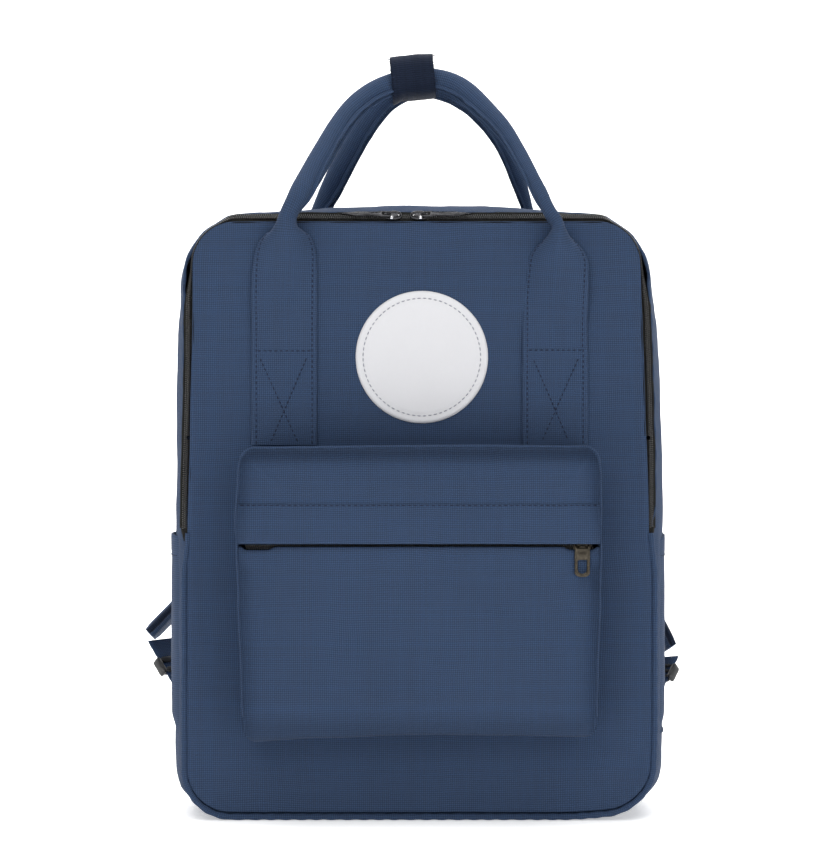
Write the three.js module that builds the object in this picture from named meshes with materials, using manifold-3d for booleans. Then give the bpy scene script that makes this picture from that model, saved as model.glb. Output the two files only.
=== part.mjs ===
// School backpack, in millimetres. +X right, +Y towards the wearer's back, +Z up.
// Origin: middle of the flat bottom. The front of the bag faces -Y.
import * as THREE from 'three';
import { mergeVertices } from 'three/addons/utils/BufferGeometryUtils.js';
import Module from 'manifold-3d';

const wasm = await Module();
wasm.setup();

// ---------------------------------------------------------------- dimensions
const FABRIC = 1.6;              // coated polyester panel, with its seam turnings
const LINING = 0.8;
const GAP = 0.3;                 // between touching pieces

const FRONT_Y = -62;             // outer face of the front panel
const BACK_Y = 60;               // outer face of the back panel
const FRONT_HALF_W = 139.6;      // front panel
const FRONT_TOP = 371;
const FRONT_BOTTOM = 6;
const FRONT_CORNER = 26;
const BODY = [                   // side, top and bottom walls: y, half width, bottom, top, corner radius
  [-55.6, 146.4, 2.6, 377.4, 31],
  [-46, 149.8, 0, 380.6, 32],
  [-20, 152.3, 0, 384.2, 33],
  [20, 152.3, 0, 384.2, 33],
  [46, 149.4, 0, 380.6, 32],
  [57.8, 145.6, 2.6, 376.2, 30],
];
const GUSSET_TOP_Z = 346;        // the top wall is a separate strip above this height
const GUSSET_LOW_Z = 37;         // the bottom wall is a separate strip below it

const FOLD_Z = 238;              // the open front folds here, just above the front pocket
const FOLD_Y = -61.2;

const ZIP_HALF_W = 143.2;        // centre line of the main zip
const ZIP_TOP = 374.2;
const ZIP_CORNER = 29;
const ZIP_Y = -58.8;
const ZIP_END_Z = 181;           // both ends of the main zip
const TAPE_OUT = 4;              // half width of the zip that shows
const COIL_IN = 0.7;             // the two rows of teeth are this far from the centre line
const COIL_OUT = 1.9;
const TAPE_IN = 2.1;

const SLIDER_LEN = 11;
const SLIDER_HALF = 3.6;
const MAIN_SLIDER_X = [-16.4, -0.3];
const PULL_LEN = 33;             // slider centre to the pull's free end

const STRAP_X = 84;              // front straps, centre
const STRAP_W = 40;
const STRAP_T = 2.2;
const SEWN_TOP = 292;            // the front straps are sewn to the panel below this height
const TUBE_R = 6.8;              // rolled handles
const BACK_STRAP_X = 74;
const BACK_SEWN_TOP = 372;

const TAB_X = -4;                // webbing loop that holds the two handles together
const TAB_W = 30.5;
const TAB_Z = 465.4;
const TAB_HALF_H = 15.8;
const TAB_HALF_D = 25.5;
const TAB_T = 1.8;

const PATCH_Z = 287.6;           // round patch
const PATCH_X = 1.4;
const PATCH_R = 41;
const PATCH_T = 1.1;

const POCKET_HALF_W = 110.5;     // front pocket
const POCKET_LOW = 53;
const POCKET_TOP = 232.5;
const POCKET_FRONT = -97;
const POCKET_T = 1.2;
const POCKET_ZIP_Z = 171.5;
const POCKET_ZIP_Y = -96;
const POCKET_ZIP_HALF = 106;
const HEM_TOP = 196;
const HEM_LOW = 175.6;
const POCKET_SLIDER_X = 100.5;

const SIDE_POCKET_X = 158.2;     // outer face of the side pockets at the middle of the bag
const SIDE_POCKET_LOW = 52;
const SIDE_POCKET_TOP = 177;

const SHOULDER_W = 44;
const SHOULDER_T = 8;
const WEB_W = 25;
const WEB_T = 1.6;

// ---------------------------------------------------------------- finishes
const finish = (color, roughness, metalness = 0) => () => new THREE.MeshStandardMaterial({ color, roughness, metalness });
const navy = finish(0x3b4a66, 0.85);
const navyDark = finish(0x29303e, 0.9);
const liningCloth = finish(0x2b3446, 0.8);
const foam = finish(0x8c8f94, 0.95);
const black = finish(0x23231f, 0.85);
const blackNylon = finish(0x1b1b1a, 0.45);
const white = finish(0xececee, 0.5);
const gunmetal = finish(0x4a4b4d, 0.3, 1);
const brass = finish(0x6a5d45, 0.4, 1);
const plastic = finish(0x17181a, 0.45);

// ---------------------------------------------------------------- helpers
const group = new THREE.Group();

function signedVolume(geo) {
  const p = geo.attributes.position, ix = geo.index;
  const a = new THREE.Vector3(), b = new THREE.Vector3(), c = new THREE.Vector3();
  let v = 0;
  for (let i = 0; i < ix.count; i += 3) {
    a.fromBufferAttribute(p, ix.getX(i));
    b.fromBufferAttribute(p, ix.getX(i + 1));
    c.fromBufferAttribute(p, ix.getX(i + 2));
    v += a.dot(b.cross(c)) / 6;
  }
  return v;
}

function faceOut(geo) {
  if (signedVolume(geo) < 0) {
    const ix = geo.index.array;
    for (let i = 0; i < ix.length; i += 3) { const t = ix[i]; ix[i] = ix[i + 1]; ix[i + 1] = t; }
  }
  return geo;
}

function weld(geo) {
  const g = geo.clone();
  g.deleteAttribute('normal');
  g.deleteAttribute('uv');
  return faceOut(mergeVertices(g, 1e-4));
}

function manifold(geo) {
  const g = weld(geo);
  return new wasm.Manifold(new wasm.Mesh({
    numProp: 3,
    vertProperties: new Float32Array(g.attributes.position.array),
    triVerts: new Uint32Array(g.index.array),
  }));
}

function geometry(man) {
  const m = man.getMesh();
  const g = new THREE.BufferGeometry();
  g.setAttribute('position', new THREE.BufferAttribute(new Float32Array(m.vertProperties), 3));
  g.setIndex(new THREE.BufferAttribute(new Uint32Array(m.triVerts), 1));
  return g;
}

const box = (x0, x1, y0, y1, z0, z1) => new THREE.BoxGeometry(x1 - x0, y1 - y0, z1 - z0)
  .translate((x0 + x1) / 2, (y0 + y1) / 2, (z0 + z1) / 2);

function add(name, geo, material) {
  const g = weld(geo);
  g.computeVertexNormals();
  const mesh = new THREE.Mesh(g, material());
  mesh.name = name;
  group.add(mesh);
  return mesh;
}

// A closed skin through rings of the same number of points, capped at both ends. caps gives the cap triangles.
function loft(rings, caps) {
  const n = rings[0].length, pos = [], idx = [];
  rings.forEach((r) => r.forEach((p) => pos.push(p.x, p.y, p.z)));
  for (let i = 0; i + 1 < rings.length; i++) {
    for (let j = 0; j < n; j++) {
      const a = i * n + j, b = i * n + (j + 1) % n, c = a + n, d = b + n;
      idx.push(a, b, d, a, d, c);
    }
  }
  const tri = caps ?? Array.from({ length: n - 2 }, (_, k) => [0, k + 1, k + 2]);
  const last = (rings.length - 1) * n;
  tri.forEach(([a, b, c]) => { idx.push(a, c, b); idx.push(last + a, last + b, last + c); });
  const g = new THREE.BufferGeometry();
  g.setAttribute('position', new THREE.Float32BufferAttribute(pos, 3));
  g.setIndex(idx);
  return faceOut(g);
}

// Rounded rectangle in the XZ plane, as points.
function roundedRing(halfW, z0, z1, r, y, k = 5) {
  const out = [];
  const corner = (cx, cz, from) => {
    for (let i = 0; i <= k; i++) {
      const t = from + (Math.PI / 2) * (i / k);
      out.push(new THREE.Vector3(cx + r * Math.cos(t), y, cz + r * Math.sin(t)));
    }
  };
  corner(halfW - r, z1 - r, 0);
  corner(-halfW + r, z1 - r, Math.PI / 2);
  corner(-halfW + r, z0 + r, Math.PI);
  corner(halfW - r, z0 + r, 1.5 * Math.PI);
  return out;
}

function roundedShape(x0, x1, z0, z1, rTop, rLow) {
  const s = new THREE.Shape();
  s.moveTo(x0 + rLow, z0);
  s.lineTo(x1 - rLow, z0);
  if (rLow) s.absarc(x1 - rLow, z0 + rLow, rLow, -Math.PI / 2, 0);
  s.lineTo(x1, z1 - rTop);
  if (rTop) s.absarc(x1 - rTop, z1 - rTop, rTop, 0, Math.PI / 2);
  s.lineTo(x0 + rTop, z1);
  if (rTop) s.absarc(x0 + rTop, z1 - rTop, rTop, Math.PI / 2, Math.PI);
  s.lineTo(x0, z0 + rLow);
  if (rLow) s.absarc(x0 + rLow, z0 + rLow, rLow, Math.PI, 1.5 * Math.PI);
  return s;
}

// A flat piece drawn in XZ and standing between y0 and y1.
const plate = (shape, y0, y1, seg = 6) => new THREE.ExtrudeGeometry(shape, { depth: y1 - y0, bevelEnabled: false, curveSegments: seg })
  .rotateX(Math.PI / 2).translate(0, y1, 0);

// Centre line of the main zip: up the left side, over the top, down the right side.
function overTop(halfW, top, r, z0, k = 6) {
  const pts = [[-halfW, z0, -1, 0]];
  for (let i = 0; i <= k; i++) {
    const t = Math.PI - (Math.PI / 2) * (i / k);
    pts.push([-halfW + r + r * Math.cos(t), top - r + r * Math.sin(t), Math.cos(t), Math.sin(t)]);
  }
  for (let i = 0; i <= k; i++) {
    const t = Math.PI / 2 - (Math.PI / 2) * (i / k);
    pts.push([halfW - r + r * Math.cos(t), top - r + r * Math.sin(t), Math.cos(t), Math.sin(t)]);
  }
  pts.push([halfW, z0, 1, 0]);
  return pts;
}
// The same below: down the left side, along the bottom, up the right side.
const underBottom = (halfW, bottom, r, z1, k = 5) => overTop(halfW, -bottom, r, -z1, k).map(([x, z, nx, nz]) => [x, -z, nx, -nz]);

// Sweeps a profile of [outward, y] pairs along such a line.
function sweep(path, profile) {
  const rings = path.map(([x, z, nx, nz]) => profile.map(([a, y]) => new THREE.Vector3(x + nx * a, y, z + nz * a)));
  const flat = profile.map(([a, y]) => new THREE.Vector2(a, y));
  if (THREE.ShapeUtils.isClockWise(flat)) rings.forEach((r) => r.reverse());
  const ccw = THREE.ShapeUtils.isClockWise(flat) ? flat.slice().reverse() : flat;
  return loft(rings, THREE.ShapeUtils.triangulateShape(ccw, []));
}

// The zip lies on the rounded front edge at 45 degrees: u runs outward and back, v outward and forward.
const H = Math.SQRT1_2;
const zipPoint = (u, v) => [(u + v) * H, ZIP_Y + (u - v) * H];
const zipProfile = (u0, u1, v0, v1) => [zipPoint(u0, v0), zipPoint(u1, v0), zipPoint(u1, v1), zipPoint(u0, v1)];

// A band of given half widths along a 3-D curve: frames come from a width direction that turns from w0 to w1.
function strap(points, widthAt, thickAt, dirAt, steps, sides = 8) {
  const curve = new THREE.CatmullRomCurve3(points.map((p) => new THREE.Vector3(...p)), false, 'centripetal');
  const rings = [];
  for (let i = 0; i <= steps; i++) {
    const t = i / steps;
    const c = curve.getPointAt(t), d = curve.getTangentAt(t);
    const w = dirAt(t).clone();
    w.addScaledVector(d, -w.dot(d)).normalize();
    const n = new THREE.Vector3().crossVectors(d, w).normalize();
    const hw = widthAt(t) / 2, ht = thickAt(t) / 2;
    const ring = [];
    for (let j = 0; j < sides; j++) {
      const a = (2 * Math.PI * (j + 0.5)) / sides;
      const ca = Math.cos(a), sa = Math.sin(a);
      const e = 0.62;         // rounds the corners of the section
      const x = Math.sign(ca) * Math.abs(ca) ** e, y = Math.sign(sa) * Math.abs(sa) ** e;
      const m = Math.max(Math.abs(Math.cos(Math.PI / sides)) ** e, 1e-6);
      ring.push(c.clone().addScaledVector(w, (x / m) * hw).addScaledVector(n, (y / m) * ht));
    }
    rings.push(ring);
  }
  return loft(rings);
}

// ---------------------------------------------------------------- body walls
const shellSolid = (inset, y0, y1) => {
  const at = (y) => {
    const s = BODY;
    const yy = Math.min(Math.max(y, s[0][0]), s[s.length - 1][0]);
    let i = 0;
    while (i < s.length - 2 && yy > s[i + 1][0]) i++;
    const t = (yy - s[i][0]) / (s[i + 1][0] - s[i][0]);
    return s[i].map((v, k) => v + (s[i + 1][k] - v) * t);
  };
  const ys = [y0, ...BODY.map((b) => b[0]).filter((y) => y > y0 + 0.01 && y < y1 - 0.01), y1];
  return loft(ys.map((y) => {
    const [, hw, zb, zt, r] = at(y);
    return roundedRing(hw - inset, zb + inset, zt - inset, r - inset, y);
  }));
};
const Y0 = BODY[0][0], Y1 = BODY[BODY.length - 1][0];
const walls = manifold(shellSolid(0, Y0, Y1)).subtract(manifold(shellSolid(FABRIC, Y0 - 5, Y1 + 5)));
const cut = (man, ...b) => geometry(man.intersect(manifold(box(...b))));
add('gusset_top', cut(walls, -200, 200, -100, 100, GUSSET_TOP_Z + GAP / 2, 400), navy);
add('gusset_bottom', cut(walls, -200, 200, -100, 100, -10, GUSSET_LOW_Z - GAP / 2), navy);
add('gusset_left', cut(walls, -200, -100, -100, 100, GUSSET_LOW_Z + GAP / 2, GUSSET_TOP_Z - GAP / 2), navy);
add('gusset_right', cut(walls, 100, 200, -100, 100, GUSSET_LOW_Z + GAP / 2, GUSSET_TOP_Z - GAP / 2), navy);

add('lining', geometry(manifold(shellSolid(FABRIC + 0.4, Y0 + 1.6, 52.2)).subtract(manifold(shellSolid(FABRIC + 0.4 + LINING, Y0 - 5, 52.2 - LINING)))), liningCloth);
add('back_pad', plate(roundedShape(-136, 136, 12, 366, 22, 22), 52.6, 57.4), foam);
add('back_panel', plate(roundedShape(-143.4, 143.4, 5, 374, 28, 28), 58.2, BACK_Y), navy);
add('inner_sleeve', plate(roundedShape(-138, 138, 10, 246, 3, 24), 43.6, 44.8), liningCloth);

// ---------------------------------------------------------------- front panel, in two parts that meet at the fold
add('front_panel_lower', plate(roundedShape(-FRONT_HALF_W, FRONT_HALF_W, FRONT_BOTTOM, FOLD_Z - 1, 0, FRONT_CORNER), FRONT_Y, FRONT_Y + FABRIC), navy);
add('front_panel_upper', plate(roundedShape(-FRONT_HALF_W, FRONT_HALF_W, FOLD_Z + 0.2, FRONT_TOP, FRONT_CORNER, 0), FRONT_Y, FRONT_Y + FABRIC), navy);
const pipe = Array.from({ length: 6 }, (_, i) => [1.9 * Math.cos((i * Math.PI) / 3), ZIP_Y + 1.9 * Math.sin((i * Math.PI) / 3)]);
add('front_seam_piping', sweep(underBottom(ZIP_HALF_W, 3.6, ZIP_CORNER, ZIP_END_Z - 3.4), pipe), navy);

// ---------------------------------------------------------------- main zip
const rearLine = overTop(ZIP_HALF_W, ZIP_TOP, ZIP_CORNER, ZIP_END_Z);
const frontLine = overTop(ZIP_HALF_W, ZIP_TOP, ZIP_CORNER, FOLD_Z + 0.6);
add('zip_tape_rear', sweep(rearLine, zipProfile(TAPE_IN, TAPE_OUT, -0.35, 0.25)), black);
add('zip_coil_rear', sweep(rearLine, zipProfile(COIL_IN, COIL_OUT, -0.6, 0.95)), blackNylon);
add('zip_tape_front', sweep(frontLine, zipProfile(-TAPE_OUT, -TAPE_IN, -0.35, 0.25)), black);
add('zip_coil_front', sweep(frontLine, zipProfile(-COIL_OUT, -COIL_IN, -0.6, 0.95)), blackNylon);
for (const [side, s] of [['left', -1], ['right', 1]]) {
  const leg = [[s * ZIP_HALF_W, ZIP_END_Z, s, 0], [s * ZIP_HALF_W, FOLD_Z - 1, s, 0]];
  add(`zip_tape_front_lower_${side}`, sweep(leg, zipProfile(-TAPE_OUT, -TAPE_IN, -0.35, 0.25)), black);
  add(`zip_coil_front_lower_${side}`, sweep(leg, zipProfile(-COIL_OUT, -COIL_IN, -0.6, 0.95)), blackNylon);
  const stop = [[s * ZIP_HALF_W, ZIP_END_Z - 3, s, 0], [s * ZIP_HALF_W, ZIP_END_Z - 0.3, s, 0]];
  add(`zip_end_stop_${side}`, sweep(stop, zipProfile(-3.4, 3.4, -0.9, 1.3)), black);
}

// A slider: an H section that the two rows of teeth run through, with a bridge for its pull.
// Coordinates here are s along the zip, u across it and v out of it.
function sliderSolid(frontLow, rearLow, bridge) {
  const h = new THREE.Shape();
  [[-SLIDER_HALF, 1.2], [-0.35, 1.2], [-0.35, -0.95], [-frontLow, -0.95], [-frontLow, -1.9], [rearLow, -1.9], [rearLow, -0.95],
    [0.35, -0.95], [0.35, 1.2], [SLIDER_HALF, 1.2], [SLIDER_HALF, 2.1], [-SLIDER_HALF, 2.1]]
    .filter(([u, v], i, all) => i === 0 || u !== all[i - 1][0] || v !== all[i - 1][1])
    .forEach(([u, v], i) => (i ? h.lineTo(u, v) : h.moveTo(u, v)));
  const body = new THREE.ExtrudeGeometry(h, { depth: SLIDER_LEN, bevelEnabled: false });
  body.applyMatrix4(new THREE.Matrix4().set(0, 0, 1, -SLIDER_LEN / 2, 1, 0, 0, 0, 0, 1, 0, 0, 0, 0, 0, 1));
  const a = new THREE.Shape();
  bridge.forEach(([s, v], i) => (i ? a.lineTo(s, v) : a.moveTo(s, v)));
  const arch = new THREE.ExtrudeGeometry(a, { depth: 1.6, bevelEnabled: false });
  arch.applyMatrix4(new THREE.Matrix4().set(1, 0, 0, 0, 0, 0, 1, -0.8, 0, 1, 0, 0, 0, 0, 0, 1));
  return geometry(manifold(body).add(manifold(arch)));
}
const mainBridge = [[-3, 1.8], [-3, 5.1], [4.6, 5.1], [4.6, 1.8], [3.6, 1.8], [3.6, 4.3], [-2, 4.3], [-2, 1.8]];
const pullShape = new THREE.Shape();
[[1.6, -2.4], [PULL_LEN - 1.2, -2.4], [PULL_LEN, -1.2], [PULL_LEN, 1.2], [PULL_LEN - 1.2, 2.4], [1.6, 2.4]].forEach(([s, u], i) => (i ? pullShape.lineTo(s, u) : pullShape.moveTo(s, u)));
const eye = new THREE.Path();
[[2.8, -1.3], [2.8, 1.3], [6.6, 1.3], [6.6, -1.3]].forEach(([s, u], i) => (i ? eye.lineTo(s, u) : eye.moveTo(s, u)));
pullShape.holes.push(eye);
[['left', -1, MAIN_SLIDER_X[0]], ['right', 1, MAIN_SLIDER_X[1]]].forEach(([side, dir, x]) => {
  // s runs outward along the top of the bag
  const frame = new THREE.Matrix4().set(
    dir, 0, 0, x,
    0, H, -H, ZIP_Y,
    0, H, H, ZIP_TOP,
    0, 0, 0, 1);
  add(`main_slider_${side}`, sliderSolid(2.7, 0.35, mainBridge).applyMatrix4(frame), gunmetal);
  const pull = new THREE.ExtrudeGeometry(pullShape, { depth: 1.2, bevelEnabled: false }).translate(0, 0, 2.6);
  add(`main_pull_${side}`, pull.applyMatrix4(frame), gunmetal);
});

// ---------------------------------------------------------------- front straps, handles and the loop between them
for (const [side, s] of [['left', -1], ['right', 1]]) {
  const x = s * STRAP_X;
  add(`front_strap_end_${side}`, plate(roundedShape(x - STRAP_W / 2, x + STRAP_W / 2, FOLD_Z + 1, SEWN_TOP - 1.4, 0, 0), FRONT_Y - GAP - STRAP_T, FRONT_Y - GAP), navy);
  const xb = s * BACK_STRAP_X;
  add(`back_strap_end_${side}`, plate(roundedShape(xb - STRAP_W / 2, xb + STRAP_W / 2, 296, BACK_SEWN_TOP - 1.4, 0, 0), BACK_Y + GAP, BACK_Y + GAP + STRAP_T), navy);
}
const frontHandle = [
  [-84, -63.4, 292.2], [-83.6, -63.4, 318], [-82, -65.6, 344], [-79.4, -71.6, 368], [-76.5, -71.2, 386], [-63.4, -55, 406.5], [-51.8, -40, 427], [-38.8, -25, 447.6], [-25, -15, 459.4],
  [-7, -13.2, 465], [9, -13.2, 465.8], [23, -15, 462], [36.5, -25, 449], [50.5, -39, 429.5], [62, -53, 409], [75, -70, 388], [80, -71.6, 370], [82, -65.6, 344], [83.6, -63.4, 318], [84, -63.4, 292.2],
];
const backHandle = [
  [-74, 61.6, 372.2], [-73.4, 63.6, 384], [-66, 61, 396], [-51, 46, 422], [-37, 29, 445], [-22, 14.6, 460.2],
  [-5, 13.2, 463.8], [11, 13.2, 463.8], [31, 18, 456], [48, 30.5, 439], [60.5, 46, 418], [70, 60.5, 396], [73.4, 63.6, 384], [74, 61.6, 372.2],
];
const smooth = (a, b, t) => { const k = Math.min(Math.max((t - a) / (b - a), 0), 1); return k * k * (3 - 2 * k); };
// The strap is flat where it is sewn, then folds up into a round tube.
function handleSolid(points, flatTo, roundFrom, steps) {
  // rings keep one frame: width direction is perpendicular to the curve and to a fixed depth direction
  const curve = new THREE.CatmullRomCurve3(points.map((p) => new THREE.Vector3(...p)), false, 'centripetal');
  const len = curve.getLength();
  const rings = [];
  for (let i = 0; i <= steps; i++) {
    const t = i / steps;
    const c = curve.getPointAt(t), d = curve.getTangentAt(t);
    const near = Math.min(t, 1 - t) * len;
    const k = smooth(flatTo, roundFrom, near);
    const depth = new THREE.Vector3(0, 1, 0);
    depth.addScaledVector(d, -depth.dot(d)).normalize();
    const w = new THREE.Vector3().crossVectors(d, depth).normalize();
    const hw = (STRAP_W + (2 * TUBE_R - STRAP_W) * k) / 2;
    const ht = (STRAP_T - 0.2 + (2 * TUBE_R - STRAP_T + 0.2) * k) / 2;
    const e = 0.35 + 0.65 * k;
    const ring = [];
    for (let j = 0; j < 8; j++) {
      const a = (2 * Math.PI * (j + 0.5)) / 8;
      const f = (v) => Math.sign(v) * Math.abs(v) ** e;
      const m = Math.cos(Math.PI / 8) ** e;
      ring.push(c.clone().addScaledVector(w, (f(Math.cos(a)) / m) * hw).addScaledVector(depth, (f(Math.sin(a)) / m) * ht));
    }
    rings.push(ring);
  }
  return loft(rings);
}
add('front_handle', handleSolid(frontHandle, 30, 92, 46), navy);
add('back_handle', handleSolid(backHandle, 2, 26, 30), navy);

// The loop round both handles is in a front and a rear half that part when the handles are separated.
function oval(hd, hh, half, x0, x1, n = 8) {
  const sign = half;
  const out = [], inn = [];
  for (let i = 0; i <= n; i++) {
    const t = -Math.PI / 2 + (Math.PI * i) / n;
    const f = (v, e) => Math.sign(v) * Math.abs(v) ** e;
    const cy = (v, d) => sign * (0.15 + (d - 0.15) * f(Math.cos(t), 0.5) * v);
    out.push(new THREE.Vector2(cy(1, hd), TAB_Z + hh * f(Math.sin(t), 0.5)));
    inn.push(new THREE.Vector2(cy(1, hd - TAB_T), TAB_Z + (hh - TAB_T) * f(Math.sin(t), 0.5)));
  }
  const ring = [...out, ...inn.reverse()];
  const s = new THREE.Shape(ring);
  return new THREE.ExtrudeGeometry(s, { depth: x1 - x0, bevelEnabled: false })
    .applyMatrix4(new THREE.Matrix4().set(0, 0, 1, x0, 1, 0, 0, 0, 0, 1, 0, 0, 0, 0, 0, 1));
}
add('handle_tab_front', oval(TAB_HALF_D, TAB_HALF_H, -1, TAB_X - TAB_W / 2, TAB_X + TAB_W / 2), navyDark);
add('handle_tab_rear', oval(TAB_HALF_D, TAB_HALF_H, 1, TAB_X - TAB_W / 2, TAB_X + TAB_W / 2), navyDark);

// ---------------------------------------------------------------- round patch
add('round_patch', new THREE.CylinderGeometry(PATCH_R, PATCH_R, PATCH_T, 40).translate(PATCH_X, FRONT_Y - GAP - PATCH_T / 2, PATCH_Z), white);

// ---------------------------------------------------------------- front pocket
const pocketY0 = POCKET_FRONT + POCKET_T + 0.3, pocketY1 = FRONT_Y - GAP;
const pocketRing = (inset, y) => roundedRing(POCKET_HALF_W - inset - (y < -90 ? 0 : 1.5), POCKET_LOW + inset, POCKET_TOP - inset, 9, y, 3);
const pocketWalls = manifold(loft([pocketRing(0, pocketY0), pocketRing(0, pocketY1)]))
  .subtract(manifold(loft([pocketRing(POCKET_T, pocketY0 - 2), pocketRing(POCKET_T, pocketY0), pocketRing(POCKET_T, pocketY1), pocketRing(POCKET_T, pocketY1 + 2)])));
add('pocket_gusset_top', cut(pocketWalls, -200, 200, -120, 0, POCKET_TOP - 12, 300), navy);
add('pocket_gusset_bottom', cut(pocketWalls, -200, 200, -120, 0, 0, POCKET_LOW + 12), navy);
add('pocket_gusset_left', cut(pocketWalls, -200, 0, -120, 0, POCKET_LOW + 12.3, POCKET_TOP - 12.3), navy);
add('pocket_gusset_right', cut(pocketWalls, 0, 200, -120, 0, POCKET_LOW + 12.3, POCKET_TOP - 12.3), navy);
const pw = POCKET_HALF_W - 1;
add('pocket_front_lower', plate(roundedShape(-pw, pw, POCKET_LOW + 1, POCKET_ZIP_Z - 4.8, 0, 8), POCKET_FRONT, POCKET_FRONT + POCKET_T), navy);
add('pocket_front_upper', plate(roundedShape(-pw, pw, POCKET_ZIP_Z + 4.8, POCKET_TOP - 1, 8, 0), POCKET_FRONT, POCKET_FRONT + POCKET_T), navy);
const bead = Array.from({ length: 6 }, (_, i) => [1.2 * Math.cos((i * Math.PI) / 3), POCKET_FRONT - 0.9 + 1.2 * Math.sin((i * Math.PI) / 3)]);
add('pocket_piping', sweep(overTop(POCKET_HALF_W - 0.2, POCKET_TOP - 0.2, 9, POCKET_LOW + 10, 3), bead.map(([a, y]) => [a + 1.1, y + 0.4])), navy);
add('pocket_hem', plate(roundedShape(-pw + 1.6, pw - 1.6, HEM_LOW, HEM_TOP - 0.6, 0, 1.5), -98.6, -97.4), navy);
const along = (z0, z1, v0, v1) => box(-POCKET_ZIP_HALF, POCKET_ZIP_HALF, POCKET_ZIP_Y - v1, POCKET_ZIP_Y - v0, POCKET_ZIP_Z + z0, POCKET_ZIP_Z + z1);
add('pocket_zip_tape_upper', along(TAPE_IN, 4.5, -0.35, 0.25), black);
add('pocket_zip_tape_lower', along(-4.5, -TAPE_IN, -0.35, 0.25), black);
add('pocket_zip_coil_upper', along(COIL_IN, COIL_OUT, -0.6, 0.95), blackNylon);
add('pocket_zip_coil_lower', along(-COIL_OUT, -COIL_IN, -0.6, 0.95), blackNylon);

// The pocket slider's bridge has a bar along X; the pull's ring turns on it.
const pocketBridge = [[-4, 1.8], [-4, 5.05], [4, 5.05], [4, 1.8], [3.1, 1.8], [3.1, 4.15], [-3.1, 4.15], [-3.1, 1.8]];
const pocketFrame = new THREE.Matrix4().set(
  1, 0, 0, POCKET_SLIDER_X,
  0, 0, -1, POCKET_ZIP_Y,
  0, 1, 0, POCKET_ZIP_Z,
  0, 0, 0, 1);
const narrowArch = sliderSolid(SLIDER_HALF, SLIDER_HALF, pocketBridge.map(([s, v]) => [s, v]));
add('pocket_slider', geometry(manifold(narrowArch).subtract(manifold(box(-3, 3, 0.46, 3, 4, 6))).subtract(manifold(box(-3, 3, -3, -0.46, 4, 6)))).applyMatrix4(pocketFrame), gunmetal);
const PULL_PIVOT_Y = POCKET_ZIP_Y - 4.6;
const annulus = new THREE.Shape();
annulus.absarc(0, 0, 2, 0, 2 * Math.PI);
const bore = new THREE.Path();
bore.absarc(0, 0, 1.05, 0, 2 * Math.PI, true);
annulus.holes.push(bore);
const ring = new THREE.ExtrudeGeometry(annulus, { depth: 2.6, bevelEnabled: false, curveSegments: 6 })
  .applyMatrix4(new THREE.Matrix4().set(0, 0, 1, POCKET_SLIDER_X - 1.3, 1, 0, 0, PULL_PIVOT_Y, 0, 1, 0, POCKET_ZIP_Z, 0, 0, 0, 1));
const tag = roundedShape(POCKET_SLIDER_X - 4.9, POCKET_SLIDER_X + 4.9, POCKET_ZIP_Z - 19.4, POCKET_ZIP_Z - 3.2, 1.6, 2.4);
const window1 = new THREE.Path(), window2 = new THREE.Path();
const rectPath = (p, x0, x1, z0, z1) => { p.moveTo(x0, z0); p.lineTo(x0, z1); p.lineTo(x1, z1); p.lineTo(x1, z0); p.closePath(); };
rectPath(window1, POCKET_SLIDER_X - 2.9, POCKET_SLIDER_X + 2.9, POCKET_ZIP_Z - 7.4, POCKET_ZIP_Z - 4.8);
rectPath(window2, POCKET_SLIDER_X - 2.9, POCKET_SLIDER_X + 2.9, POCKET_ZIP_Z - 17.4, POCKET_ZIP_Z - 10.2);
tag.holes.push(window1, window2);
const neck = box(POCKET_SLIDER_X - 1.3, POCKET_SLIDER_X + 1.3, PULL_PIVOT_Y - 0.7, PULL_PIVOT_Y + 0.7, POCKET_ZIP_Z - 3.6, POCKET_ZIP_Z - 1.5);
add('pocket_pull', geometry(manifold(ring).add(manifold(neck)).add(manifold(plate(tag, PULL_PIVOT_Y - 0.7, PULL_PIVOT_Y + 0.7, 3)))), brass);

// ---------------------------------------------------------------- side pockets, open at the top
for (const [side, s] of [['left', -1], ['right', 1]]) {
  const outline = (grow, z) => {
    const out = [];
    const n = 8;
    for (let i = 0; i <= n; i++) {
      const y = -47 + (94 * i) / n;
      const q = (y / 47) ** 2;
      out.push([150.4 + grow + (SIDE_POCKET_X - 150.4) * (1 - q * q), y]);
    }
    return out.map(([x, y]) => new THREE.Vector3(s * x, y, z));
  };
  const ringAt = (z, g0, g1) => [...outline(g1, z), ...outline(g0, z).reverse()];
  const tri = [];
  for (let i = 0; i < 8; i++) tri.push([i, i + 1, 16 - i], [i, 16 - i, 17 - i]);
  const wall = loft([ringAt(SIDE_POCKET_LOW, -1.2, 0), ringAt(SIDE_POCKET_LOW + 60, -1.2, 0), ringAt(SIDE_POCKET_TOP, -1.2, 0)], tri);
  const floorTri = tri;
  const body = manifold(shellSolid(-0.3, Y0 - 2, Y1 + 2));
  const floor = manifold(loft([ringAt(SIDE_POCKET_LOW, -12, -0.4), ringAt(SIDE_POCKET_LOW + 1.4, -12, -0.4)], floorTri)).subtract(body);
  add(`side_pocket_${side}`, geometry(manifold(wall).subtract(body).add(floor)), navy);
}

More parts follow.
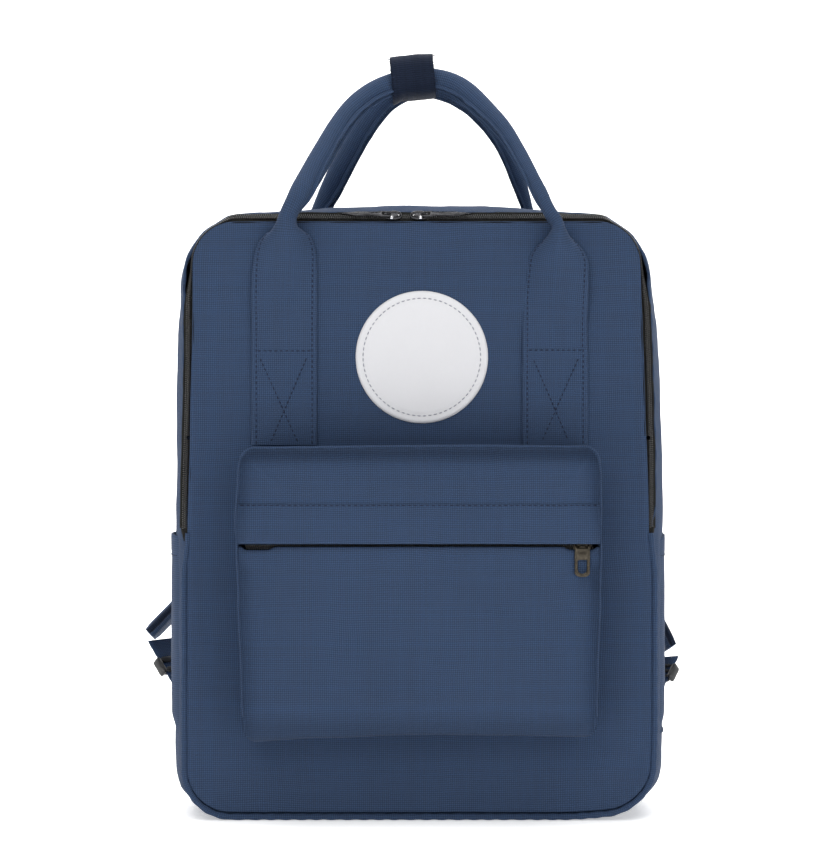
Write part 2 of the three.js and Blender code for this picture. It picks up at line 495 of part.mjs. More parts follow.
// ---------------------------------------------------------------- shoulder straps, webbing, anchor wings and adjusters
const ADJUST_LEN = 12;
for (const [side, s, dx, dz] of [['left', -1, 0, 0], ['right', 1, -9, -12]]) {
  const pts = [[30, 65, 348], [33, 82, 338], [42, 99, 300], [58, 107, 252], [86, 106, 200], [122, 97, 158], [155, 89, 130], [177 + dx, 85, 110 + dz]]
    .map(([x, y, z]) => [s * x, y, z]);
  const w0 = new THREE.Vector3(1, 0, 0), w1 = new THREE.Vector3(s * -0.25, 0.97, 0.1);
  if (s > 0) w1.negate();
  const dir = (t) => w0.clone().lerp(s < 0 ? w1.clone() : w1.clone(), smooth(0.35, 0.95, t)).normalize();
  add(`shoulder_strap_${side}`, strap(pts, (t) => SHOULDER_W - 4 * smooth(0.5, 1, t), () => SHOULDER_T, dir, 24), navy);
  const a = new THREE.Vector3(s * 155, 64.6, 70), b = new THREE.Vector3(s * (176 + dx), 84, 102 + dz);
  const d = b.clone().sub(a), len = d.length();
  d.normalize();
  const w = new THREE.Vector3(0, 1, 0);
  w.addScaledVector(d, -w.dot(d)).normalize();
  const n = new THREE.Vector3().crossVectors(d, w);
  const m = new THREE.Matrix4().makeBasis(w, n, d);
  m.setPosition(a);
  add(`lower_webbing_${side}`, box(-WEB_W / 2, WEB_W / 2, -WEB_T / 2, WEB_T / 2, 0, len).applyMatrix4(m), navyDark);
  const mid = len * 0.5;
  const ow = WEB_W / 2 + 3.4, iw = WEB_W / 2 + 0.5, ot = 3, it = WEB_T / 2 + 0.35;
  const frame = manifold(box(-ow, ow, -ot, ot, mid - ADJUST_LEN / 2, mid + ADJUST_LEN / 2))
    .subtract(manifold(box(-iw, iw, -it, it, mid - 20, mid + 20)))
    .subtract(manifold(box(-iw, iw, 0, 10, mid - ADJUST_LEN / 2 + 2.4, mid - 1.3)))
    .subtract(manifold(box(-iw, iw, 0, 10, mid + 1.3, mid + ADJUST_LEN / 2 - 2.4)))
    .subtract(manifold(box(-iw, iw, -10, 0, mid - 2, mid + 2)));
  add(`strap_adjuster_${side}`, geometry(frame).applyMatrix4(m), plastic);
  const wing = new THREE.Shape([[134, 44], [147, 50], [153, 62], [153, 76], [147, 88], [134, 96]].map(([x, z]) => new THREE.Vector2(s * x, z)));
  add(`anchor_wing_${side}`, plate(wing, BACK_Y + GAP, BACK_Y + GAP + 2), navyDark);
}

export default group;
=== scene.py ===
# Blender scene of the school backpack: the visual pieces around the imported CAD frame.
import bpy
import math
from mathutils import Vector, Matrix, noise


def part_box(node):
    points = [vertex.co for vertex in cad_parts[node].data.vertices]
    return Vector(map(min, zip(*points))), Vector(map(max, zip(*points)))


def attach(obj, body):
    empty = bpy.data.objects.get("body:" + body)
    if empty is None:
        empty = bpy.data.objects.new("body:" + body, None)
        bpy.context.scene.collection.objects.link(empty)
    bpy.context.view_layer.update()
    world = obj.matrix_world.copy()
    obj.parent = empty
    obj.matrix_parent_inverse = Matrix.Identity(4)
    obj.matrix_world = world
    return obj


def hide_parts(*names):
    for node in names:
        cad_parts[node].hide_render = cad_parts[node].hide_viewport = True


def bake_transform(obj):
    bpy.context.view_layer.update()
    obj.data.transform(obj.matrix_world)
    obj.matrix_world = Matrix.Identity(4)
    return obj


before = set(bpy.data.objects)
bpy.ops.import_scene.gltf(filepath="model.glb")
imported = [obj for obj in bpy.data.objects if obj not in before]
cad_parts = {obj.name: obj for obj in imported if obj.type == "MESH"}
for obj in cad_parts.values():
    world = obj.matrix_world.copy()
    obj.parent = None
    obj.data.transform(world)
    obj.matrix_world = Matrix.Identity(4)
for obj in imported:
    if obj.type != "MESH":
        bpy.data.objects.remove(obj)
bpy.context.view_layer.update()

MM = 0.001
PI = math.pi
H = math.sqrt(0.5)

# ------------------------------------------------------------------ camera
scene = bpy.context.scene
cam_data = bpy.data.cameras.new("camera")
cam = bpy.data.objects.new("camera", cam_data)
scene.collection.objects.link(cam)
scene.camera = cam
cam_data.sensor_fit = 'VERTICAL'
cam_data.sensor_height = 36.0
cam_data.sensor_width = 36.0 * 834 / 864
cam_data.lens = 130.2
cam_data.clip_end = 50
cam.location = (-0.0016, -2.0, 0.2505)
aim = Vector((-0.0016, -0.062, 0.2412))
cam.rotation_euler = (aim - cam.location).to_track_quat('-Z', 'Y').to_euler()


# ------------------------------------------------------------------ small maths
def smooth(a, b, t):
    k = min(max((t - a) / (b - a), 0.0), 1.0)
    return k * k * (3 - 2 * k)


def lerp(a, b, t):
    return a + (b - a) * t


def table(points, t):
    """Smooth value through (t, value) pairs."""
    if t <= points[0][0]:
        return points[0][1]
    for (t0, v0), (t1, v1) in zip(points, points[1:]):
        if t <= t1:
            return lerp(v0, v1, smooth(t0, t1, t))
    return points[-1][1]


def fbm(x, y, z, octaves=3):
    s, a, n = 0.0, 1.0, 0.0
    for _ in range(octaves):
        s += a * noise.noise(Vector((x, y, z)))
        n += a
        a *= 0.5
        x, y, z = x * 2.03 + 7.1, y * 2.03 + 3.3, z * 2.03 + 1.7
    return s / n


def hsh(i, j=0):
    v = math.sin(i * 127.1 + j * 311.7 + 17.3) * 43758.5453
    return v - math.floor(v)


# ------------------------------------------------------------------ mesh helpers
def new_object(name, verts, faces, mat, uvs=None, face_mats=None, mats=None, smooth_shade=True):
    """verts in mm. uvs is a list per face of (u, v) per corner, in mm."""
    me = bpy.data.meshes.new(name)
    me.from_pydata([(v[0] * MM, v[1] * MM, v[2] * MM) for v in verts], [], faces)
    for m in (mats or [mat]):
        me.materials.append(m)
    if face_mats:
        for p, k in zip(me.polygons, face_mats):
            p.material_index = k
    if smooth_shade:
        me.polygons.foreach_set("use_smooth", [True] * len(me.polygons))
    if uvs:
        layer = me.uv_layers.new(name="cloth")
        flat = [c for f in uvs for uv in f for c in (uv[0] * 0.01, uv[1] * 0.01)]
        layer.data.foreach_set("uv", flat)
    me.update()
    ob = bpy.data.objects.new(name, me)
    scene.collection.objects.link(ob)
    return ob


def orient(verts, faces, uvs=None):
    """Turns every face round if the closed mesh is inside out."""
    vol = 0.0
    for f in faces:
        a = Vector(verts[f[0]])
        for i in range(1, len(f) - 1):
            vol += a.dot(Vector(verts[f[i]]).cross(Vector(verts[f[i + 1]])))
    if vol < 0:
        faces = [tuple(reversed(f)) for f in faces]
        if uvs:
            uvs = [list(reversed(u)) for u in uvs]
    return verts, faces, uvs


class Builder:
    def __init__(self):
        self.v, self.f, self.uv, self.m = [], [], [], []

    def vert(self, p):
        self.v.append((p[0], p[1], p[2]))
        return len(self.v) - 1

    def face(self, ids, uv=None, mat=0):
        self.f.append(tuple(ids))
        self.uv.append(uv or [(self.v[i][0], self.v[i][2]) for i in ids])
        self.m.append(mat)

    def add(self, verts, faces, uvs=None, mat=0):
        o = len(self.v)
        self.v.extend(tuple(p) for p in verts)
        for k, f in enumerate(faces):
            self.f.append(tuple(i + o for i in f))
            self.uv.append(uvs[k] if uvs else [(verts[i][0], verts[i][2]) for i in f])
            self.m.append(mat)

    def make(self, name, mats, smooth_shade=True):
        if not isinstance(mats, (list, tuple)):
            mats = [mats]
        return new_object(name, self.v, self.f, None, self.uv, self.m, list(mats), smooth_shade)


def tube_grid(rings, uvs=None, cap=True, closed=False, sharp=False):
    """Skin through rings (lists of points, each a closed loop). uvs(i, j) gives mm."""
    n = len(rings[0])
    verts = [tuple(p) for r in rings for p in r]
    faces, uv = [], []
    count = len(rings) if closed else len(rings) - 1
    for i in range(count):
        i2 = (i + 1) % len(rings)
        for j in range(n):
            j2 = (j + 1) % n
            faces.append((i * n + j, i * n + j2, i2 * n + j2, i2 * n + j))
            if uvs:
                uv.append([uvs(i, j), uvs(i, j + 1), uvs(i + 1, j + 1), uvs(i + 1, j)])
    if cap and not closed:
        for base, rev in ((0, True), ((len(rings) - 1) * n, False)):
            ring = verts[base:base + n]
            if sharp:
                verts.extend(ring)
                base = len(verts) - n
            c = tuple(sum(p[k] for p in ring) / n for k in range(3))
            verts.append(c)
            ci = len(verts) - 1
            for j in range(n):
                j2 = (j + 1) % n
                faces.append((base + j2, base + j, ci) if rev else (base + j, base + j2, ci))
                if uvs:
                    i = 0 if rev else len(rings) - 1
                    a, b = uvs(i, j), uvs(i, j + 1)
                    mid = ((a[0] + b[0]) / 2, (a[1] + b[1]) / 2)
                    uv.append([b, a, mid] if rev else [a, b, mid])
    return orient(verts, faces, uv if uvs else None)


def frames(points, closed=False, ref=Vector((0, 1, 0))):
    """Centre, tangent, side and normal along a polyline, with side kept square to ref."""
    out = []
    n = len(points)
    for i in range(n):
        if closed:
            a, b = points[(i - 1) % n], points[(i + 1) % n]
        else:
            a, b = points[max(i - 1, 0)], points[min(i + 1, n - 1)]
        t = (Vector(b) - Vector(a)).normalized()
        nrm = ref - t * ref.dot(t)
        if nrm.length < 1e-6:
            nrm = Vector((1, 0, 0)) - t * t.x
        nrm.normalize()
        side = t.cross(nrm).normalized()
        out.append((Vector(points[i]), t, side, nrm))
    return out


def catmull(points, samples):
    """Evenly spaced points on a centripetal-like curve through the given points."""
    pts = [Vector(p) for p in points]
    pts = [pts[0] * 2 - pts[1]] + pts + [pts[-1] * 2 - pts[-2]]
    dense = []
    for k in range(1, len(pts) - 2):
        p0, p1, p2, p3 = pts[k - 1:k + 3]
        for s in range(24):
            t = s / 24
            dense.append(0.5 * ((2 * p1) + (p2 - p0) * t + (2 * p0 - 5 * p1 + 4 * p2 - p3) * t * t + (3 * p1 - p0 - 3 * p2 + p3) * t ** 3))
    dense.append(pts[-2])
    cum = [0.0]
    for a, b in zip(dense, dense[1:]):
        cum.append(cum[-1] + (b - a).length)
    out, k = [], 0
    for i in range(samples + 1):
        d = cum[-1] * i / samples
        while k < len(cum) - 2 and cum[k + 1] < d:
            k += 1
        w = (d - cum[k]) / max(cum[k + 1] - cum[k], 1e-9)
        out.append(dense[k].lerp(dense[k + 1], w))
    return out, cum[-1]


def round_tube(points, radius, sides=10, closed=False, ref=Vector((0, 1, 0)), squash=1.0):
    fr = frames(points, closed, ref)
    rings = []
    for c, t, s, n in fr:
        rings.append([c + s * (radius * math.cos(2 * PI * j / sides)) + n * (radius * squash * math.sin(2 * PI * j / sides)) for j in range(sides)])
    lens = [0.0]
    for a, b in zip(points, points[1:]):
        lens.append(lens[-1] + (Vector(b) - Vector(a)).length)
    lens.append(lens[-1] + 1)
    return tube_grid(rings, lambda i, j: (j * 2 * PI * radius / sides, lens[min(i, len(lens) - 1)]), cap=True, closed=closed)


def stitches(points, normals, pitch=3.0, length=2.2, radius=0.32, lift=0.15):
    """Short threads lying along a polyline; every one dips into the cloth at both ends."""
    pts = [Vector(p) for p in points]
    cum = [0.0]
    for a, b in zip(pts, pts[1:]):
        cum.append(cum[-1] + (b - a).length)
    total = cum[-1]
    count = max(int(total / pitch), 1)
    step = total / count
    b = Builder()

    def at(d):
        d = min(max(d, 0.0), total)
        k = 0
        while k < len(cum) - 2 and cum[k + 1] < d:
            k += 1
        w = (d - cum[k]) / max(cum[k + 1] - cum[k], 1e-9)
        return pts[k].lerp(pts[k + 1], w), Vector(normals[k]).lerp(Vector(normals[min(k + 1, len(normals) - 1)]), w).normalized()
    for i in range(count):
        mid = (i + 0.5) * step
        p0, n = at(mid - length / 2)
        p1, _ = at(mid + length / 2)
        d = (p1 - p0)
        if d.length < 1e-6:
            continue
        t = d.normalized()
        s = t.cross(n).normalized()
        rings = []
        for q, up, r in ((0.0, -0.30, 0.55), (0.18, 0.02, 0.9), (0.5, lift, 1.0), (0.82, 0.02, 0.9), (1.0, -0.30, 0.55)):
            c = p0 + d * q + n * up
            rings.append([c + s * (radius * r * math.cos(2 * PI * j / 6)) + n * (radius * r * math.sin(2 * PI * j / 6)) for j in range(6)])
        v, f, u = tube_grid(rings, lambda i, j: (j * 0.3, i * 0.5))
        b.add(v, f, u)
    return b


def join(builders, name, mat):
    b = Builder()
    for o in builders:
        b.add(o.v, o.f, o.uv)
    return b.make(name, mat)


# ------------------------------------------------------------------ materials
def lin(r, g, b):
    def f(c):
        c /= 255.0
        return c / 12.92 if c <= 0.04045 else ((c + 0.055) / 1.055) ** 2.4
    return (f(r), f(g), f(b), 1.0)


class Tree:
    """A little shorthand for building node trees."""
    def __init__(self, tree):
        self.t = tree

    def node(self, kind, **props):
        n = self.t.nodes.new(kind)
        for k, v in props.items():
            setattr(n, k, v)
        return n

    def put(self, socket, value):
        if isinstance(value, bpy.types.NodeSocket):
            self.t.links.new(value, socket)
        elif value is not None:
            socket.default_value = value

    def slope(self, value, a, b, lo, hi):
        n = self.node('ShaderNodeMapRange')
        n.interpolation_type = 'SMOOTHSTEP'
        self.put(n.inputs['Value'], value)
        n.inputs['From Min'].default_value = a
        n.inputs['From Max'].default_value = b
        n.inputs['To Min'].default_value = lo
        n.inputs['To Max'].default_value = hi
        return n.outputs['Result']

    def math(self, op, a, b=None, c=None, clamp=False):
        n = self.node('ShaderNodeMath', operation=op, use_clamp=clamp)
        for s, v in zip(n.inputs, (a, b, c)):
            self.put(s, v)
        return n.outputs[0]

    def noise(self, vec, scale, detail=3.0, rough=0.5, dist=0.0, dims='3D'):
        n = self.node('ShaderNodeTexNoise', noise_dimensions=dims)
        self.put(n.inputs['Vector'], vec)
        n.inputs['Scale'].default_value = scale
        n.inputs['Detail'].default_value = detail
        n.inputs['Roughness'].default_value = rough
        n.inputs['Distortion'].default_value = dist
        return n.outputs['Fac']

    def white(self, w):
        n = self.node('ShaderNodeTexWhiteNoise', noise_dimensions='1D')
        self.put(n.inputs['W'], w)
        return n.outputs['Value']

    def scale(self, vec, xyz):
        n = self.node('ShaderNodeVectorMath', operation='MULTIPLY')
        self.put(n.inputs[0], vec)
        n.inputs[1].default_value = xyz
        return n.outputs[0]

    def ramp(self, fac, stops):
        n = self.node('ShaderNodeValToRGB')
        self.put(n.inputs[0], fac)
        e = n.color_ramp.elements
        while len(e) < len(stops):
            e.new(0.5)
        for el, (pos, col) in zip(e, stops):
            el.position = pos
            el.color = col if len(col) == 4 else (*col, 1)
        return n.outputs[0]

    def mixc(self, fac, a, b, blend='MIX'):
        n = self.node('ShaderNodeMix', data_type='RGBA', blend_type=blend)
        self.put(n.inputs[0], fac)
        self.put(n.inputs[6], a)
        self.put(n.inputs[7], b)
        return n.outputs[2]

    def range(self, v, a, b, c, d):
        n = self.node('ShaderNodeMapRange')
        self.put(n.inputs[0], v)
        for i, x in zip((1, 2, 3, 4), (a, b, c, d)):
            n.inputs[i].default_value = x
        return n.outputs[0]

    def hsv(self, col, value, sat=1.0, hue=0.5):
        n = self.node('ShaderNodeHueSaturation')
        self.put(n.inputs['Hue'], hue)
        self.put(n.inputs['Saturation'], sat)
        self.put(n.inputs['Value'], value)
        self.put(n.inputs['Color'], col)
        return n.outputs[0]

    def bump(self, height, strength, distance, normal=None):
        n = self.node('ShaderNodeBump')
        self.put(n.inputs['Height'], height)
        n.inputs['Strength'].default_value = strength
        n.inputs['Distance'].default_value = distance
        if normal is not None:
            self.put(n.inputs['Normal'], normal)
        return n.outputs[0]

    def split(self, vec):
        n = self.node('ShaderNodeSeparateXYZ')
        self.put(n.inputs[0], vec)
        return n.outputs[0], n.outputs[1], n.outputs[2]


def fresh(name):
    m = bpy.data.materials.new(name)
    m.use_nodes = True
    m.node_tree.nodes.clear()
    t = Tree(m.node_tree)
    out = t.node('ShaderNodeOutputMaterial')
    bsdf = t.node('ShaderNodeBsdfPrincipled')
    t.t.links.new(bsdf.outputs[0], out.inputs[0])
    return m, t, bsdf


def cloth_coords(t, boxed):
    """Surface coordinates in mm: from the cut of the cloth, or box-mapped on pieces that have none."""
    tc = t.node('ShaderNodeTexCoord')
    if not boxed:
        return t.scale(tc.outputs['UV'], (100, 100, 100)), t.scale(tc.outputs['Object'], (1000, 1000, 1000))
    obj = t.scale(tc.outputs['Object'], (1000, 1000, 1000))
    x, y, z = t.split(obj)
    nx, ny, nz = t.split(tc.outputs['Normal'])
    ax, ay, az = (t.math('ABSOLUTE', v) for v in (nx, ny, nz))
    side = t.math('GREATER_THAN', ax, t.math('MAXIMUM', ay, az))
    top = t.math('GREATER_THAN', az, t.math('MAXIMUM', ay, ax))
    u = t.math('ADD', t.math('MULTIPLY', x, t.math('SUBTRACT', 1.0, side)), t.math('MULTIPLY', y, side))
    v = t.math('ADD', t.math('MULTIPLY', z, t.math('SUBTRACT', 1.0, top)), t.math('MULTIPLY', y, top))
    c = t.node('ShaderNodeCombineXYZ')
    t.put(c.inputs[0], u)
    t.put(c.inputs[1], v)
    return c.outputs[0], obj


def plain_weave(t, uv, pitch_u, pitch_v):
    """Height of an over-under weave, and one brightness per thread."""
    x, y, _ = t.split(uv)
    a, b = t.math('DIVIDE', x, pitch_u), t.math('DIVIDE', y, pitch_v)
    ia, ib = t.math('FLOOR', a), t.math('FLOOR', b)
    fa, fb = t.math('SUBTRACT', a, ia), t.math('SUBTRACT', b, ib)
    par = t.math('FLOORED_MODULO', t.math('ADD', ia, ib), 2.0)
    ga = t.math('SUBTRACT', 1.0, t.math('POWER', t.math('ABSOLUTE', t.math('MULTIPLY_ADD', fa, 2.0, -1.0)), 2.0))
    gb = t.math('SUBTRACT', 1.0, t.math('POWER', t.math('ABSOLUTE', t.math('MULTIPLY_ADD', fb, 2.0, -1.0)), 2.0))
    warp = t.math('MULTIPLY', ga, t.math('MULTIPLY_ADD', gb, 0.5, 0.5))
    weft = t.math('MULTIPLY', gb, t.math('MULTIPLY_ADD', ga, 0.5, 0.5))
    inv = t.math('SUBTRACT', 1.0, par)
    height = t.math('ADD', t.math('MULTIPLY', warp, inv), t.math('MULTIPLY', weft, par))
    thread = t.math('ADD', t.math('MULTIPLY', t.white(ia), inv), t.math('MULTIPLY', t.white(t.math('ADD', ib, 31.7)), par))
    return height, thread, par


def fabric_material(name, colour, boxed=False, pitch=1.25, depth=0.22, value=1.0, sheen=0.03, rough=0.84, contrast=0.80, painted_shade_edges=None):
    m, t, bsdf = fresh(name)
    uv, obj = cloth_coords(t, boxed)
    # the cloth is never quite straight: the threads wander a little
    wob = t.node('ShaderNodeTexNoise')
    t.put(wob.inputs['Vector'], obj)
    wob.inputs['Scale'].default_value = 0.018
    wob.inputs['Detail'].default_value = 2.0
    off = t.node('ShaderNodeVectorMath', operation='MULTIPLY_ADD')
    t.put(off.inputs[0], wob.outputs['Color'])
    off.inputs[1].default_value = (5.0, 5.0, 0)
    t.put(off.inputs[2], uv)
    height, thread, par = plain_weave(t, off.outputs[0], pitch, pitch * 1.06)
    slub_a = t.noise(t.scale(off.outputs[0], (0.9, 0.05, 1)), 1.0, 2.0)
    slub_b = t.noise(t.scale(off.outputs[0], (0.05, 0.9, 1)), 1.0, 2.0)
    slub = t.math('ADD', t.math('MULTIPLY', slub_a, t.math('SUBTRACT', 1.0, par)), t.math('MULTIPLY', slub_b, par))
    cloud = t.noise(obj, 0.012, 3.0)
    v = t.math('MULTIPLY_ADD', height, contrast, value - contrast * 0.62)
    v = t.math('ADD', v, t.math('MULTIPLY_ADD', thread, 0.13, -0.065))
    v = t.math('ADD', v, t.math('MULTIPLY_ADD', slub, 0.17, -0.085))
    v = t.math('ADD', v, t.math('MULTIPLY_ADD', cloud, 0.16, -0.08))
    if painted_shade_edges:
        # painted shade: the cloth is darkened where it turns into its sewn channel, towards the top edge, the sides and
        # the bottom, in place of the shadow under the rim and the shade on the rolled-under bottom: (half width,
        # bottom, top)
        hw, z0, z1 = painted_shade_edges
        ox, oy, oz = t.split(obj)
        dx = t.math('SUBTRACT', hw, t.math('ABSOLUTE', ox))
        v = t.math('MULTIPLY', v, t.slope(t.math('SUBTRACT', z1, oz), 2.0, 13.0, 0.70, 1.0))
        v = t.math('MULTIPLY', v, t.slope(dx, 1.0, 8.0, 0.84, 1.0))
        v = t.math('MULTIPLY', v, t.slope(t.math('SUBTRACT', oz, z0), 0.0, 16.0, 0.76, 1.0))
    sat = t.math('MULTIPLY_ADD', thread, 0.06, 0.97)
    col = t.hsv(colour, v, sat)
    t.put(bsdf.inputs['Base Color'], col)
    t.put(bsdf.inputs['Roughness'], t.math('MULTIPLY_ADD', height, -0.10, rough))
    bsdf.inputs['Specular IOR Level'].default_value = 0.12
    bsdf.inputs['Sheen Weight'].default_value = sheen
    bsdf.inputs['Sheen Roughness'].default_value = 0.45
    bsdf.inputs['Sheen Tint'].default_value = (0.75, 0.83, 1.0, 1.0)
    fine = t.noise(off.outputs[0], 2.6, 2.0)
    hh = t.math('ADD', height, t.math('MULTIPLY', fine, 0.25))
    n1 = t.bump(hh, 0.75, depth * MM)
    soft = t.noise(obj, 0.05, 3.0)
    n2 = t.bump(soft, 0.30, 1.2 * MM, n1)
    t.put(bsdf.inputs['Normal'], n2)
    return m


def webbing_material(name, colour, boxed=False, across='u', rib=1.5):
    """Ribbed webbing: ribs run across the band, threads along it."""
    m, t, bsdf = fresh(name)
    uv, obj = cloth_coords(t, boxed)
    x, y, _ = t.split(uv)
    if across == 'v':
        x, y = y, x
    a = t.math('DIVIDE', y, rib)
    fr = t.math('SUBTRACT', a, t.math('FLOOR', a))
    ridge = t.math('SUBTRACT', 1.0, t.math('POWER', t.math('ABSOLUTE', t.math('MULTIPLY_ADD', fr, 2.0, -1.0)), 2.0))
    c = t.math('ADD', t.math('DIVIDE', x, 0.75), t.math('MULTIPLY', t.math('FLOORED_MODULO', t.math('FLOOR', a), 2.0), 0.5))
    fc = t.math('SUBTRACT', c, t.math('FLOOR', c))
    thread = t.math('SUBTRACT', 1.0, t.math('POWER', t.math('ABSOLUTE', t.math('MULTIPLY_ADD', fc, 2.0, -1.0)), 2.0))
    h = t.math('MULTIPLY', ridge, t.math('MULTIPLY_ADD', thread, 0.4, 0.6))
    tone = t.white(t.math('FLOOR', c))
    v = t.math('ADD', t.math('MULTIPLY_ADD', h, 0.5, 0.62), t.math('MULTIPLY_ADD', tone, 0.24, -0.12))
    v = t.math('ADD', v, t.math('MULTIPLY_ADD', t.noise(obj, 0.06, 3.0), 0.3, -0.15))
    t.put(bsdf.inputs['Base Color'], t.hsv(colour, v))
    bsdf.inputs['Roughness'].default_value = 0.80
    bsdf.inputs['Specular IOR Level'].default_value = 0.10
    bsdf.inputs['Sheen Weight'].default_value = 0.01
    t.put(bsdf.inputs['Normal'], t.bump(h, 0.9, 0.35 * MM))
    return m


def metal_material(name, colour, dark, rough=0.28, scratch=0.35, boxed=True):
    m, t, bsdf = fresh(name)
    tc = t.node('ShaderNodeTexCoord')
    obj = t.scale(tc.outputs['Object'], (1000, 1000, 1000))
    worn = t.noise(obj, 0.55, 5.0, 0.65)
    col = t.mixc(t.range(worn, 0.38, 0.66, 0.0, 1.0), dark, colour)
    geo = t.node('ShaderNodeNewGeometry')
    edge = t.range(geo.outputs['Pointiness'], 0.50, 0.60, 0.0, 0.55)
    t.put(bsdf.inputs['Base Color'], t.mixc(edge, col, tuple(min(c * 1.9, 1.0) for c in colour[:3]) + (1,)))
    bsdf.inputs['Metallic'].default_value = 1.0
    fine = t.noise(t.scale(obj, (6, 0.6, 6)), 1.0, 3.0)
    t.put(bsdf.inputs['Roughness'], t.math('ADD', t.math('MULTIPLY_ADD', worn, 0.30, rough - 0.15), t.math('MULTIPLY_ADD', fine, 0.12, -0.06)))
    t.put(bsdf.inputs['Normal'], t.bump(t.math('ADD', worn, t.math('MULTIPLY', fine, 0.3)), scratch, 0.05 * MM))
    return m


def thread_material(name, colour):
    m, t, bsdf = fresh(name)
    tc = t.node('ShaderNodeTexCoord')
    uv = t.scale(tc.outputs['UV'], (100, 100, 100))
    x, y, _ = t.split(uv)
    tw = t.math('SINE', t.math('ADD', t.math('MULTIPLY', x, 3.5), t.math('MULTIPLY', y, 9.0)))
    obj = t.scale(tc.outputs['Object'], (1000, 1000, 1000))
    v = t.math('ADD', t.math('MULTIPLY_ADD', tw, 0.18, 1.0), t.math('MULTIPLY_ADD', t.noise(obj, 0.4, 2.0), 0.3, -0.15))
    t.put(bsdf.inputs['Base Color'], t.hsv(colour, v))
    bsdf.inputs['Roughness'].default_value = 0.65
    bsdf.inputs['Specular IOR Level'].default_value = 0.2
    t.put(bsdf.inputs['Normal'], t.bump(tw, 0.5, 0.06 * MM))
    return m


def patch_material():
    m, t, bsdf = fresh("coated_patch")
    tc = t.node('ShaderNodeTexCoord')
    obj = t.scale(tc.outputs['Object'], (1000, 1000, 1000))
    vor = t.node('ShaderNodeTexVoronoi', feature='DISTANCE_TO_EDGE')
    t.put(vor.inputs['Vector'], obj)
    vor.inputs['Scale'].default_value = 0.95
    grain = t.range(vor.outputs['Distance'], 0.0, 0.22, 0.0, 1.0)
    cloud = t.noise(obj, 0.03, 4.0)
    fleck = t.noise(obj, 0.35, 4.0, 0.7)
    v = t.math('ADD', t.math('MULTIPLY_ADD', cloud, 0.05, 0.965), t.math('MULTIPLY_ADD', fleck, 0.03, -0.015))
    t.put(bsdf.inputs['Base Color'], t.hsv(lin(205, 205, 208), v))
    t.put(bsdf.inputs['Roughness'], t.math('MULTIPLY_ADD', grain, -0.12, 0.56))
    bsdf.inputs['Specular IOR Level'].default_value = 0.35
    n1 = t.bump(grain, 0.18, 0.08 * MM)
    t.put(bsdf.inputs['Normal'], t.bump(cloud, 0.3, 0.8 * MM, n1))
    return m


def foam_material():
    """Spacer mesh: small round cells in offset rows."""
    m, t, bsdf = fresh("spacer_mesh")
    uv, obj = cloth_coords(t, True)
    x, y, _ = t.split(uv)
    row = t.math('FLOOR', t.math('DIVIDE', y, 2.6))
    sx = t.math('ADD', t.math('DIVIDE', x, 3.0), t.math('MULTIPLY', t.math('FLOORED_MODULO', row, 2.0), 0.5))
    fx = t.math('SUBTRACT', t.math('SUBTRACT', sx, t.math('FLOOR', sx)), 0.5)
    fy = t.math('SUBTRACT', t.math('SUBTRACT', t.math('DIVIDE', y, 2.6), row), 0.5)
    d = t.math('SQRT', t.math('ADD', t.math('MULTIPLY', fx, fx), t.math('MULTIPLY', fy, fy)))
    hole = t.range(d, 0.20, 0.34, 0.0, 1.0)
    fine = t.noise(obj, 1.6, 3.0)
    v = t.math('ADD', t.math('MULTIPLY_ADD', hole, 0.75, 0.35), t.math('MULTIPLY_ADD', fine, 0.3, -0.15))
    t.put(bsdf.inputs['Base Color'], t.hsv(lin(44, 52, 68), v))
    bsdf.inputs['Roughness'].default_value = 0.85
    bsdf.inputs['Sheen Weight'].default_value = 0.25
    t.put(bsdf.inputs['Normal'], t.bump(t.math('ADD', hole, t.math('MULTIPLY', fine, 0.2)), 0.8, 0.6 * MM))
    return m


def plastic_material():
    m, t, bsdf = fresh("moulded_acetal")
    tc = t.node('ShaderNodeTexCoord')
    obj = t.scale(tc.outputs['Object'], (1000, 1000, 1000))
    fine = t.noise(obj, 2.2, 4.0, 0.6)
    scuff = t.noise(t.scale(obj, (0.4, 3.0, 0.4)), 1.0, 4.0, 0.6)
    t.put(bsdf.inputs['Base Color'], t.hsv(lin(27, 28, 30), t.math('MULTIPLY_ADD', scuff, 0.5, 0.75)))
    t.put(bsdf.inputs['Roughness'], t.math('MULTIPLY_ADD', fine, 0.25, 0.30))
    t.put(bsdf.inputs['Normal'], t.bump(fine, 0.35, 0.04 * MM))
    return m


def teeth_material():
    m, t, bsdf = fresh("nylon_coil")
    tc = t.node('ShaderNodeTexCoord')
    obj = t.scale(tc.outputs['Object'], (1000, 1000, 1000))
    n = t.noise(obj, 0.9, 3.0)
    t.put(bsdf.inputs['Base Color'], t.hsv(lin(30, 30, 29), t.math('MULTIPLY_ADD', n, 0.7, 0.65)))
    t.put(bsdf.inputs['Roughness'], t.math('MULTIPLY_ADD', n, 0.2, 0.28))
    t.put(bsdf.inputs['Normal'], t.bump(n, 0.3, 0.05 * MM))
    return m


